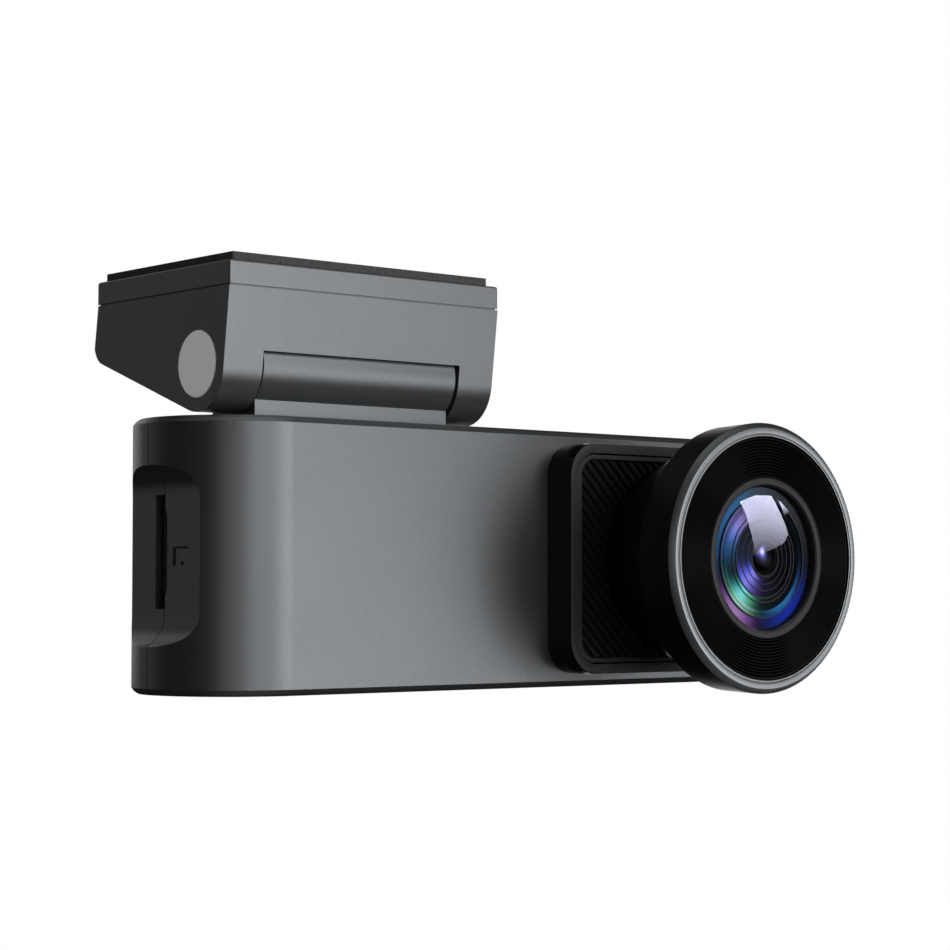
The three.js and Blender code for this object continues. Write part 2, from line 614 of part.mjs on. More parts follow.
function addBoards() {
  let main = block([board.left, board.right], [board.front, board.back], [board.low, board.high]);
  for (const [x, z] of shellScrewPlaces()) {
    const hole = shellScrew.shank + 2 * screwClear;
    main = cut(main, rod('Y', hole, board.front - margin, board.back + margin, x, z, screwSides));
  }
  add('main_board', main, 'circuitBoard');
  const p = processor;
  const chipZ = [bodyMid - p.half, bodyMid + p.half];
  add('processor', block([p.left, p.right], [board.back, p.back], chipZ), 'chip');
  add('thermal_pad', block([p.left, p.right], [p.back, p.padBack], chipZ), 'thermalFoam');
  const h = heatSink;
  const sinkZ = [bodyMid - h.half, bodyMid + h.half];
  add('heat_sink', block([h.left, h.right], [p.padBack, h.back], sinkZ), 'aluminium');
  const c = capacitor;
  [bodyMid + c.offset, bodyMid - c.offset].forEach((z, i) => {
    add(`supercapacitor_${i + 1}`, rod('X', c.radius, c.left, c.right, c.y, z, 24), 'aluminium');
  });
  const s = speaker;
  add('speaker', rod('Y', s.radius, s.front, s.back, s.x, bodyMid, 28), 'satinBlack');
  const m = microphone;
  add('microphone', block(
    [m.x - m.width / 2, m.x + m.width / 2],
    [m.y - m.depth / 2, m.y + m.depth / 2],
    [body.bottom + wall, body.bottom + wall + m.height],
  ), 'steel');
  const a = antenna;
  const antennaZ = [bodyMid - a.half, bodyMid + a.half];
  add('wifi_antenna', block([a.left, a.right], [board.back, a.back], antennaZ), 'clearPlastic');
  const pipe = lightPipe;
  const led = statusLed;
  add('status_led', block(
    [pipe.x - led.half, pipe.x + led.half],
    [board.back, led.back],
    [bodyMid - led.halfHeight, bodyMid + led.halfHeight],
  ), 'clearPlastic');
  const pipeEnd = body.back + pipe.proud;
  add('light_pipe', rod('Y', pipe.radius, pipe.front, pipeEnd, pipe.x, bodyMid, 16), 'clearPlastic');
}

function addSockets() {
  const c = cardSocket;
  const z = [cardSlot.z - c.width / 2, cardSlot.z + c.width / 2];
  const roomHalf = card.width / 2 + cardRoom.side;
  const room = block(
    [c.left - margin, c.right - c.end],
    [c.front + c.wall, card.y + cardRoom.rear],
    [cardSlot.z - roomHalf, cardSlot.z + roomHalf],
  );
  add('card_socket', cut(block([c.left, c.right], [c.front, board.front], z), room), 'steel');

  const half = card.width / 2;
  const slim = card.thickness / 2;
  const lip = card.lip / 2;
  const cardZ = [cardSlot.z - half, cardSlot.z + half];
  add('memory_card', joined(
    block([card.outer, card.outer + card.length], [card.y - slim, card.y + slim], cardZ),
    block([card.outer, card.outer + card.lipLength], [card.y - lip, card.y + slim], cardZ),
  ), 'chip');

  const halfT = usb.thickness / 2;
  const halfW = usb.width / 2;
  const end = plugRecess.floor - 2 * slack;
  const start = end - usb.length;
  const { y } = plugRecess;
  const outline = (inset) => {
    const t = halfT - inset;
    const w = halfW - inset;
    return roundedRectangle(y - t, y + t, bodyMid - w, bodyMid + w, t - slack);
  };
  const can = pushed('X', outline(0), start, end, 0, 4);
  const mouth = pushed('X', outline(usb.wall), end - usb.mouth, end + margin, 0, 4);
  const tip = end - usbTongue.setback;
  const tongue = block(
    [tip - usbTongue.length, tip],
    [y - usbTongue.thickness / 2, y + usbTongue.thickness / 2],
    [bodyMid - usbTongue.width / 2, bodyMid + usbTongue.width / 2],
  );
  add('usb_socket', joined(cut(can, mouth), tongue), 'steel');
}

function addButton() {
  const b = button;
  const fit = buttonFit;
  const flangeBack = body.back - wall - fit.back;
  const stemEnd = flangeBack - b.stemLength;
  const cap = joined(
    rod('Y', b.radius, flangeBack - fit.collar, body.back + b.proud, b.x, bodyMid, 28),
    rod('Y', b.flange, flangeBack - fit.flange, flangeBack, b.x, bodyMid, 28),
    rod('Y', b.stem, stemEnd, flangeBack, b.x, bodyMid, 16),
  );
  add('power_button', cap, 'greyCase');
  const t = tactSwitch;
  const plungerStart = t.back - 2 * slack;
  add('tact_switch', joined(
    block([b.x - t.half, b.x + t.half], [board.back, t.back], [bodyMid - t.half, bodyMid + t.half]),
    rod('Y', t.plunger, plungerStart, stemEnd - b.gap, b.x, bodyMid, 16),
  ), 'chip');
}

addBasePlate();
addHousing();
addHinge();
addKnuckle();
addShells();
addCollar();
addLensHousing();
addOptics();
addSensorCable();
addBoards();
addSockets();
addButton();

export default dashCamera;
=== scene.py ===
import math

import bmesh
import bpy
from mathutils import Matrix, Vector


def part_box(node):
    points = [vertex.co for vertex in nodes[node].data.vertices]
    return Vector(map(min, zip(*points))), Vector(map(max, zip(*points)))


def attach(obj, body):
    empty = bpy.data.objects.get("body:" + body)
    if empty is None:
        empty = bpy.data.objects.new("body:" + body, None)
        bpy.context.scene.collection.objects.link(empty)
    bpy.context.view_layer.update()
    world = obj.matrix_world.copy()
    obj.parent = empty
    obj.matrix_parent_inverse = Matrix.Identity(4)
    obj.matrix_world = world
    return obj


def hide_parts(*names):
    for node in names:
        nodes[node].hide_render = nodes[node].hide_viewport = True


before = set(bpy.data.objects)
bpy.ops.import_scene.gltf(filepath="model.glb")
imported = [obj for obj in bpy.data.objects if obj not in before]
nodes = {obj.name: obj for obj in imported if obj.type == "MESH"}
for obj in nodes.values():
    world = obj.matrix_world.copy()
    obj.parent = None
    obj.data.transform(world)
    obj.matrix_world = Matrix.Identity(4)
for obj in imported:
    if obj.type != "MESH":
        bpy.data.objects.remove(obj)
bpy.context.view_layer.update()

mm = 0.001


# where the main pieces are, in millimetres, read from the frame
def nodeBox(name):
    low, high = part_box(name)
    return low / mm, high / mm


caseLow = Vector(map(min, nodeBox("front_shell")[0], nodeBox("rear_shell")[0]))
caseHigh = Vector(map(max, nodeBox("front_shell")[1], nodeBox("rear_shell")[1]))
parting = nodeBox("rear_shell")[0].y
lensCentre = sum(nodeBox("lens_hood"), Vector()) / 2
lensX, lensZ = lensCentre.x, lensCentre.z
hingeCentre = sum(nodeBox("hinge_pin"), Vector()) / 2
hingeY, hingeZ = hingeCentre.y, hingeCentre.z
midZ = (caseLow.z + caseHigh.z) / 2


# small helpers, with places and sizes in millimetres
def activate(piece):
    bpy.ops.object.select_all(action="DESELECT")
    piece.select_set(True)
    bpy.context.view_layer.objects.active = piece


def startEdit(piece):
    activate(piece)
    bpy.ops.object.mode_set(mode="EDIT")


def endEdit():
    bpy.ops.object.mode_set(mode="OBJECT")


def pick(kind, test):  # in edit mode; places are in millimetres
    bpy.ops.mesh.select_mode(type=kind)
    bpy.ops.mesh.select_all(action="DESELECT")
    mesh = bmesh.from_edit_mesh(bpy.context.edit_object.data)
    if kind == "VERT":
        chosen = [v for v in mesh.verts if test(v.co / mm)]
    elif kind == "EDGE":
        ends = [(e, e.verts[0].co, e.verts[1].co) for e in mesh.edges]
        chosen = [e for e, a, b in ends if test((a + b) / 2 / mm, (b - a).normalized())]
    else:
        chosen = [f for f in mesh.faces if test(f.calc_center_median() / mm, f.normal)]
    for part in chosen:
        part.select_set(True)
    mesh.select_flush_mode()
    bmesh.update_edit_mesh(bpy.context.edit_object.data)


def placed(name):
    piece = bpy.context.active_object
    piece.name = name
    bpy.ops.object.transform_apply(location=True, rotation=True, scale=True)
    return piece


def addBlock(name, low, high):
    centre = [(a + b) / 2 * mm for a, b in zip(low, high)]
    size = [(b - a) * mm for a, b in zip(low, high)]
    bpy.ops.object.select_all(action="DESELECT")
    bpy.ops.mesh.primitive_cube_add(size=1, location=centre, scale=size)
    return placed(name)


def addRod(name, axis, radius, start, end, first, second, sides=64):
    middle, length = (start + end) / 2, end - start
    places = {"X": (middle, first, second), "Y": (first, middle, second), "Z": (first, second, middle)}
    turns = {"X": (0, math.pi / 2, 0), "Y": (math.pi / 2, 0, 0), "Z": (0, 0, 0)}
    bpy.ops.object.select_all(action="DESELECT")
    bpy.ops.mesh.primitive_cylinder_add(
        vertices=sides, radius=radius * mm, depth=length * mm,
        location=[v * mm for v in places[axis]], rotation=turns[axis],
    )
    return placed(name)


def useModifier(piece, kind, **settings):
    activate(piece)
    modifier = piece.modifiers.new(kind.lower(), kind)
    for key, value in settings.items():
        setattr(modifier, key, value)
    bpy.ops.object.modifier_apply(modifier=modifier.name)


def combine(piece, tool, operation="DIFFERENCE"):
    useModifier(piece, "BOOLEAN", object=tool, operation=operation, solver="EXACT")
    bpy.data.objects.remove(tool)


def soften(piece, width, angle, segments=2):
    useModifier(
        piece, "BEVEL", width=width * mm, segments=segments, limit_method="ANGLE",
        angle_limit=math.radians(angle), miter_outer="MITER_ARC",
    )


def mend(piece, gap=0.006):  # closes the slivers up to the gap that a cut can leave
    startEdit(piece)
    bpy.ops.mesh.select_all(action="SELECT")
    bpy.ops.mesh.remove_doubles(threshold=gap * mm)
    bpy.ops.mesh.dissolve_degenerate(threshold=gap * mm)
    bpy.ops.mesh.select_mode(type="EDGE")
    bpy.ops.mesh.select_all(action="DESELECT")
    bpy.ops.mesh.select_non_manifold(extend=False)
    bpy.ops.mesh.fill_holes(sides=12)
    bpy.ops.mesh.select_all(action="SELECT")
    bpy.ops.mesh.normals_make_consistent(inside=False)
    endEdit()


def bevelEdges(width, steps, test):  # in edit mode
    pick("EDGE", test)
    bpy.ops.mesh.bevel(offset=width * mm, segments=steps, affect="EDGES")


def pushOut(x, y, z):  # in edit mode: extrudes what is selected
    bpy.ops.mesh.extrude_region_move(TRANSFORM_OT_translate={"value": (x * mm, y * mm, z * mm)})


def roundCorners(axis, radius, steps):  # in edit mode: rounds a block's edges along the axis
    index = "XYZ".index(axis)
    bevelEdges(radius, steps, lambda place, along: abs(along[index]) > 0.99)


weld = 1e-6  # metres within which points of a turned piece are merged


def spun(name, profile, centre=None, axis="Y", sides=128, rounding=0, steps=2, closed=True):
    # the profile is [radius, distance along the axis] points in millimetres
    centre = centre or (lensX, lensZ)
    onAxis = Vector({"Y": (centre[0], 0, centre[1]), "X": (0, *centre)}[axis])
    out = Vector({"Y": (1, 0, 0), "X": (0, 1, 0)}[axis])
    along = Vector({"Y": (0, 1, 0), "X": (1, 0, 0)}[axis])
    first = onAxis + out * profile[0][0] + along * profile[0][1]
    bpy.ops.object.select_all(action="DESELECT")
    bpy.ops.mesh.primitive_plane_add(size=mm, location=first * mm)
    piece = placed(name)
    startEdit(piece)
    bpy.ops.mesh.select_mode(type="VERT")
    bpy.ops.mesh.select_all(action="SELECT")
    bpy.ops.mesh.merge(type="CENTER")
    last = profile[0]
    for point in [*profile[1:], *([profile[0]] if closed else [])]:
        step = out * (point[0] - last[0]) + along * (point[1] - last[1])
        bpy.ops.mesh.extrude_region_move(TRANSFORM_OT_translate={"value": step * mm})
        last = point
    bpy.ops.mesh.select_all(action="SELECT")
    bpy.ops.mesh.remove_doubles(threshold=weld)
    if rounding:
        bpy.ops.mesh.bevel(offset=rounding * mm, segments=steps, affect="VERTICES")
    bpy.ops.mesh.select_all(action="SELECT")
    bpy.ops.mesh.spin(steps=sides, angle=2 * math.pi, center=onAxis * mm, axis=along)
    bpy.ops.mesh.select_all(action="SELECT")
    bpy.ops.mesh.remove_doubles(threshold=weld)
    bpy.ops.mesh.normals_make_consistent(inside=False)
    endEdit()
    return piece


def coatFaces(piece, material, test):
    if material.name not in [m.name for m in piece.data.materials]:
        piece.data.materials.append(material)
    startEdit(piece)
    pick("FACE", test)
    piece.active_material_index = [m.name for m in piece.data.materials].index(material.name)
    bpy.ops.object.material_slot_assign()
    endEdit()


def finishPiece(piece, body, stands, material, angle=30):
    activate(piece)
    bpy.ops.object.shade_smooth_by_angle(angle=math.radians(angle))
    useModifier(piece, "WEIGHTED_NORMAL", keep_sharp=True)
    if material:
        piece.data.materials.clear()
        piece.data.materials.append(material)
    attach(piece, body)
    if stands:
        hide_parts(*stands)
    return piece


# materials
def linear(code):
    channels = [int(code[i:i + 2], 16) / 255 for i in (1, 3, 5)]
    return (*[c / 12.92 if c <= 0.04045 else ((c + 0.055) / 1.055) ** 2.4 for c in channels], 1)


def newMaterial(name):
    material = bpy.data.materials.new(name)
    material.use_nodes = True
    tree = material.node_tree
    tree.nodes.clear()
    return material, tree


def addNode(tree, kind, inputs=None, **settings):
    node = tree.nodes.new(kind)
    for key, value in settings.items():
        setattr(node, key, value)
    for key, value in (inputs or {}).items():
        if isinstance(value, bpy.types.NodeSocket):
            tree.links.new(value, node.inputs[key])
        else:
            node.inputs[key].default_value = value
    return node


# the broad change of roughness in mm, the share of the grain's range that is dark or light,
# and the grain's height as a share of its size
grainLook = {"broad": 12, "dark": 0.3, "light": 0.7, "height": 0.25}


def varying(tree, place, size, low, high, detail=2.0, **ends):
    # a value from low to high that changes over that size in millimetres
    noise = addNode(tree, "ShaderNodeTexNoise", {"Vector": place, "Scale": 1 / (size * mm), "Detail": detail})
    span = {"Value": noise.outputs["Fac"], "To Min": low, "To Max": high, **ends}
    return addNode(tree, "ShaderNodeMapRange", span).outputs["Result"]


def grained(name, light, dark, grain, roughness, bump, metallic=0.0, spread=0.06, **sockets):
    # colour, roughness and bump vary with a grain of that size in millimetres
    look = grainLook
    material, tree = newMaterial(name)
    place = addNode(tree, "ShaderNodeTexCoord").outputs["Object"]
    fine = addNode(tree, "ShaderNodeTexNoise", {"Vector": place, "Scale": 1 / (grain * mm), "Detail": 3.0})
    colour = addNode(tree, "ShaderNodeValToRGB", {"Fac": fine.outputs["Fac"]})
    ends = ((look["dark"], dark), (look["light"], light))
    for element, (position, code) in zip(colour.color_ramp.elements, ends):
        element.position = position
        element.color = linear(code)
    rough = varying(tree, place, look["broad"], roughness - spread, roughness + spread)
    height = addNode(tree, "ShaderNodeBump", {
        "Height": fine.outputs["Fac"], "Strength": bump, "Distance": grain * mm * look["height"],
    })
    shader = addNode(tree, "ShaderNodeBsdfPrincipled", {
        "Base Color": colour.outputs["Color"], "Roughness": rough,
        "Normal": height.outputs["Normal"], "Metallic": metallic, **sockets,
    })
    addNode(tree, "ShaderNodeOutputMaterial", {"Surface": shader.outputs["BSDF"]})
    return material


# PC/ABS with a baked satin metallic paint: a fine flake, and a soft, broad reflection
casePaint = grained(
    "satinMetallicPaint", "#96999C", "#8A8D90", 0.16, 0.36, 0.12, metallic=0.86, spread=0.03,
)
# the same paint over a blasted die casting: a little coarser, so its reflection spreads further, and lighter
# than the case's paint, which paints more light onto the plate
plateLightenedPaint = grained(
    "satinMetallicPaintLightenedOnCasting", "#A4A7AA", "#989B9E", 0.16, 0.43, 0.12, metallic=0.86, spread=0.03,
)
# closed-cell acrylic foam tape, die cut: matt, with open cells at the cut edge
foamTape = grained("acrylicFoamTape", "#737375", "#5C5C5E", 0.3, 0.92, 0.6)
# ABS moulded in a polished tool: black, with a sharp but weak reflection
glossBlack = grained(
    "polishedBlackAbs", "#070708", "#050506", 0.5, 0.24, 0.03, **{"Specular IOR Level": 0.3},
)
# the ribbed panel, moulded with a spark-eroded texture: black and a little softer
ribBlack = grained("texturedBlackAbs", "#2E2E31", "#232326", 0.12, 0.34, 0.15)
# die-cast aluminium, bead blasted and anodised black
hoodBlack = grained(
    "blackAnodisedAluminium", "#141415", "#0F0F10", 0.1, 0.42, 0.1, metallic=0.3,
    **{"Specular IOR Level": 0.3},
)
# the hood's lip, turned after anodising and given a thin grey coat
lipGrey = grained("turnedGreyAluminium", "#B6B9BC", "#AEB1B4", 0.08, 0.34, 0.05, metallic=0.9)
# the hood's chamfer, anodised dark and left satin
chamferGrey = grained("satinDarkAluminium", "#86898C", "#7E8184", 0.08, 0.42, 0.06, metallic=0.9)
# the collar's front edge and the rib panel's border, a satin grey lighter than the black round them: a
# painted highlight along these edges
rimPaintedHighlightGrey = grained("satinGreyRimPaintedHighlight", "#525254", "#4A4A4C", 0.1, 0.5, 0.05)
# black polycarbonate baffle, moulded with turned grooves
baffleBlack = grained(
    "groovedBlackPolycarbonate", "#030303", "#020202", 0.2, 0.22, 0.05, **{"Specular IOR Level": 0.13},
)
# retaining ring, machined and painted lens black
retainerBlack = grained("paintedRetainerRing", "#4E4E50", "#434345", 0.08, 0.42, 0.1, metallic=0.4)
# matt moulded cap over the hinge pin
capGrey = grained("mattMouldedAbs", "#C6C6C4", "#C0C0BE", 0.12, 0.62, 0.15)
# zinc-plated carbon steel
platedSteel = grained("zincPlatedSteel", "#A8ABAE", "#8C9094", 0.06, 0.3, 0.1, metallic=1.0)
# drawn sheet steel, nickel plated: the socket shells
nickelSteel = grained("nickelPlatedSheet", "#B9B6B0", "#A5A29C", 0.2, 0.22, 0.05, metallic=1.0)
# fine anodised aluminium for the heat sink and the capacitor cans
canAluminium = grained("anodisedCan", "#6E7A8C", "#606B7C", 0.1, 0.35, 0.1, metallic=0.9)
# epoxy moulding compound, laser etched: matt black with a fine sand
chipEpoxy = grained("epoxyMould", "#232325", "#19191B", 0.08, 0.6, 0.25)
# glass-reinforced epoxy board under a green solder mask, with the weave just showing
solderMask = grained("solderMask", "#1D4A33", "#173C2A", 0.4, 0.32, 0.2)
# amber polyimide film over rolled copper
polyimide = grained("amberPolyimide", "#B0722A", "#9C6222", 0.6, 0.3, 0.1)
# silicone gap filler, soft and dusty grey
gapFiller = grained("siliconeGapFiller", "#8F9AA0", "#7E898F", 0.3, 0.8, 0.4)
# glass-filled nylon, moulded black: carriers and housings inside
nylonBlack = grained("glassFilledNylon", "#1E1E20", "#161618", 0.15, 0.55, 0.3)
# memory card body, moulded ABS with a faint texture
cardBlack = grained("cardAbs", "#1B1B1E", "#151517", 0.12, 0.45, 0.15)
# gold-plated contacts
goldContact = grained("goldPlate", "#D9A94A", "#C99A3E", 0.05, 0.25, 0.05, metallic=1.0)


acrylicLook = {"flow": 2, "spread": 0.04, "index": 1.49, "clarity": 0.9}


def clearPlastic(name, tint, roughness):
    # moulded acrylic: clear, slightly grey, with a soft polish
    look = acrylicLook
    material, tree = newMaterial(name)
    place = addNode(tree, "ShaderNodeTexCoord").outputs["Object"]
    rough = varying(tree, place, look["flow"], roughness - look["spread"], roughness + look["spread"])
    shader = addNode(tree, "ShaderNodeBsdfPrincipled", {
        "Base Color": linear(tint), "Roughness": rough, "IOR": look["index"],
        "Transmission Weight": look["clarity"],
    })
    addNode(tree, "ShaderNodeOutputMaterial", {"Surface": shader.outputs["BSDF"]})
    return material


acrylicClear = clearPlastic("mouldedAcrylic", "#E6EAEC", 0.12)


# the bracket, fixed to the windscreen
padLook = {"corner": 0.15, "edge": 0.05}


def makePad():
    low, high = nodeBox("adhesive_pad")
    pad = addBlock("adhesivePad", low, high)
    startEdit(pad)
    roundCorners("Z", padLook["corner"], 6)
    endEdit()
    soften(pad, padLook["edge"], angle=40)
    return finishPiece(pad, "bracket", ["adhesive_pad"], foamTape)


# shadow is the height of the dark line between the plate and the housing
plateLook = {
    "frontCorner": 0.22, "rearCorner": 1.0, "topEdge": 0.3, "footInset": 0.3, "shadow": 0.16, "edge": 0.04,
}


def makeBasePlate():
    low, high = nodeBox("base_plate")
    seam = nodeBox("hinge_housing")[1].z
    shadow = plateLook["shadow"]
    plate = addBlock("basePlate", (low.x, low.y, seam + shadow), high)
    startEdit(plate)
    for end, radius in ((1, plateLook["rearCorner"]), (-1, plateLook["frontCorner"])):
        bevelEdges(radius, 8, lambda p, d: abs(d.z) > 0.99 and p.y * end > high.y - 1)
    bevelEdges(plateLook["topEdge"], 4, lambda p, d: abs(p.z - high.z) < 0.01 and abs(d.z) < 0.1)
    pick("FACE", lambda p, n: n.z < -0.99)
    bpy.ops.mesh.inset(thickness=plateLook["footInset"] * mm)
    pushOut(0, 0, -shadow)
    endEdit()
    soften(plate, plateLook["edge"], angle=40)
    # the plate's paint is lighter than the case's: painted light
    return finishPiece(plate, "bracket", ["base_plate"], plateLightenedPaint)


housingLook = {
    "lean": math.radians(7), "rise": math.radians(19.3), "nose": 5.2, "heel": 1.6, "corner": 1.0, "edge": 0.3,
    "windowHalf": 13.85, "windowTop": -10.5, "windowRear": 6.8, "windowBore": 5.3, "capRadius": 3.76,
    "capDepth": 1.95, "pinRadius": 1.55, "pocketHalf": 13, "pocketFront": 1, "pocketRear": 12,
    "pocketFloor": -8.4, "fine": 0.05,
}


def makeHousing():
    look = housingLook
    low, high = nodeBox("hinge_housing")
    leanOut = Vector((0, -math.cos(look["lean"]), -math.sin(look["lean"])))
    floorOut = Vector((0, math.sin(look["rise"]), -math.cos(look["rise"])))
    axis = Vector((0, hingeY, hingeZ))
    housing = addBlock("hingeHousing", (low.x, low.y - 4, low.z - 6), (high.x, high.y, high.z))
    startEdit(housing)
    for out in (leanOut, floorOut):
        bpy.ops.mesh.select_all(action="SELECT")
        onPlane = (axis + out * look["nose"]) * mm
        bpy.ops.mesh.bisect(plane_co=onPlane, plane_no=out, use_fill=True, clear_outer=True)
    lowest = min((v.co.z for v in bmesh.from_edit_mesh(housing.data).verts)) / mm
    pick("EDGE", lambda p, d: abs(d.x) > 0.99 and p.z < lowest + 0.1)
    inside = math.pi - math.acos(leanOut.dot(floorOut))
    bpy.ops.mesh.bevel(offset=look["nose"] / math.tan(inside / 2) * mm, segments=28, affect="EDGES")
    bevelEdges(look["heel"], 8, lambda p, d: abs(d.x) > 0.99 and p.y > high.y - 0.01 and p.z < high.z - 1)
    bevelEdges(look["corner"], 6, lambda p, d: abs(d.z) > 0.99 and p.y > high.y - 0.01)
    endEdit()
    soften(housing, look["edge"], angle=40, segments=4)
    half, deep = look["windowHalf"], low.z - 5
    combine(housing, addRod("tool", "X", look["windowBore"], -half, half, hingeY, hingeZ, 96))
    combine(housing, addBlock("tool", (-half, -30, deep), (half, hingeY, look["windowTop"])))
    combine(housing, addBlock("tool", (-half, hingeY - 1, deep), (half, hingeY + look["windowRear"], hingeZ)))
    for side in (-1, 1):
        faces = sorted((side * (high.x + 1), side * (high.x - look["capDepth"])))
        combine(housing, addRod("tool", "X", look["capRadius"], *faces, hingeY, hingeZ, 96))
    combine(housing, addRod("tool", "X", look["pinRadius"], low.x, high.x, hingeY, hingeZ, 48))
    combine(housing, addBlock(
        "tool", (-look["pocketHalf"], look["pocketFront"], look["pocketFloor"]),
        (look["pocketHalf"], look["pocketRear"], high.z + 1),
    ))
    mend(housing)
    soften(housing, look["fine"], angle=35)
    mend(housing, 0.002)
    return finishPiece(housing, "bracket", ["hinge_housing"], casePaint)


# how far in from the rim, and back from the face, each point of the rounded rim is
capLook = {"rim": [(0.5, 0), (0.1, 0.02), (0, 0.12)]}


def makePinCaps():
    for side, name in ((-1, "left"), (1, "right")):
        low, high = nodeBox("pin_cap_" + name)
        outer, inner = (low.x, high.x) if side < 0 else (high.x, low.x)
        radius = (high.y - low.y) / 2
        rim = [(radius - inward, outer - side * back) for inward, back in capLook["rim"]]
        profile = [(0, outer), *rim, (radius, inner), (0, inner)]
        cap = spun("pinCap" + name.title(), profile, (hingeY, hingeZ), "X", closed=False)
        finishPiece(cap, "bracket", ["pin_cap_" + name], capGrey)


# the knuckle that turns in the bracket
knuckleLook = {"radius": 5.0, "front": -10.7, "back": -2.5, "edge": 0.18, "bore": 1.58}


def makeKnuckle():
    look = knuckleLook
    low, high = nodeBox("hinge_knuckle")
    knuckle = addRod("hingeKnuckle", "X", look["radius"], low.x, high.x, hingeY, hingeZ, 128)
    combine(knuckle, addBlock("tool", (low.x, look["front"], low.z), (high.x, look["back"], hingeZ)), "UNION")
    combine(knuckle, addRod("tool", "X", look["bore"], low.x - 1, high.x + 1, hingeY, hingeZ, 48))
    soften(knuckle, look["edge"], angle=50, segments=3)
    return finishPiece(knuckle, "camera", ["hinge_knuckle"], casePaint)


# the case
caseLook = {
    "chamfer": 0.7, "wall": 1.6, "gap": 0.07, "fine": 0.07, "recessFloor": -20.3, "recessFlat": 6.3,
    "recessFillet": 4.0, "slotBack": -1.6, "slotZ": -32.3, "slotHeight": 12.5, "scoopRadius": 13.5,
    "scoopRise": 1.0, "scoopDepth": 0.22, "plugFloor": 71.0, "plugY": -3.3, "plugWidth": 13.0,
    "plugDepth": 7.0,
    "socketHalfY": 1.85, "socketHalfZ": 4.72, "lensBore": 8.5, "microphoneX": 8, "microphoneY": -7,
    "microphoneHole": 0.5, "buttonHole": 3.6, "pipeHole": 0.95, "speakerSlots": 5, "speakerPitch": 2,
    "speakerHalfX": 4.5, "speakerHalfZ": 0.45, "screwSink": 1.75, "screwSinkDepth": 1.4, "screwHole": 0.95,
}


def addPill(name, inset, zLow, zHigh, sides=192):
    radius = (caseHigh.y - caseLow.y) / 2
    y = (caseHigh.y + caseLow.y) / 2
    leftX = caseLow.x + radius
    stretch = caseHigh.x - caseLow.x - 2 * radius
    bpy.ops.object.select_all(action="DESELECT")
    bpy.ops.mesh.primitive_cylinder_add(
        vertices=sides, radius=(radius - inset) * mm, depth=(zHigh - zLow) * mm,
        location=(leftX * mm, y * mm, (zLow + zHigh) / 2 * mm), rotation=(0, 0, math.pi / sides),
    )
    pill = placed(name)
    startEdit(pill)
    pick("VERT", lambda p: p.x > leftX)
    bpy.ops.transform.translate(value=(stretch * mm, 0, 0))
    endEdit()
    return pill


def makeCaseBlank():
    look = caseLook
    blank = addPill("caseBlank", 0, caseLow.z, caseHigh.z)
    startEdit(blank)
    pick("EDGE", lambda p, d: abs(d.z) < 0.01 and (p.z > caseHigh.z - 0.01 or p.z < caseLow.z + 0.01))
    bpy.ops.mesh.bevel(offset=look["chamfer"] * mm, segments=2, profile=0.35, affect="EDGES")
    endEdit()
    reach = look["recessFlat"] + look["recessFillet"]
    floorX = look["recessFloor"]
    hollow = addBlock("tool", (floorX - 20, -40, midZ - reach), (floorX, 40, midZ + reach))
    startEdit(hollow)
    bevelEdges(look["recessFillet"], 24, lambda p, d: abs(d.y) > 0.99 and p.x > floorX - 0.01)
    endEdit()
    combine(blank, hollow)
    halfY, halfZ = look["plugDepth"] / 2, look["plugWidth"] / 2
    plugX, plugY = look["plugFloor"], look["plugY"]
    plug = addBlock(
        "tool", (plugX, plugY - halfY, midZ - halfZ), (caseHigh.x + 5, plugY + halfY, midZ + halfZ),
    )
    startEdit(plug)
    roundCorners("X", halfY - 0.01, 16)
    endEdit()
    combine(blank, plug)
    wall = look["wall"]
    room = addPill("tool", wall, caseLow.z + wall, caseHigh.z - wall, 96)
    startEdit(room)
    for x, out in ((floorX + wall, -1), (plugX - wall, 1)):
        bpy.ops.mesh.select_all(action="SELECT")
        bpy.ops.mesh.bisect(plane_co=(x * mm, 0, 0), plane_no=(out, 0, 0), use_fill=True, clear_outer=True)
    endEdit()
    combine(blank, room)
    halfY, halfZ = look["socketHalfY"], look["socketHalfZ"]
    opening = addBlock("tool", (plugX - 4, plugY - halfY, midZ - halfZ), (80, plugY + halfY, midZ + halfZ))
    startEdit(opening)
    roundCorners("X", halfY - 0.01, 12)
    endEdit()
    combine(blank, opening)
    return blank


def halfCase(blank, name, yLow, yHigh):
    activate(blank)
    bpy.ops.object.duplicate()
    half = bpy.context.active_object
    half.name = name
    combine(half, addBlock("tool", (-60, yLow, -90), (120, yHigh, 10)), "INTERSECT")
    return half


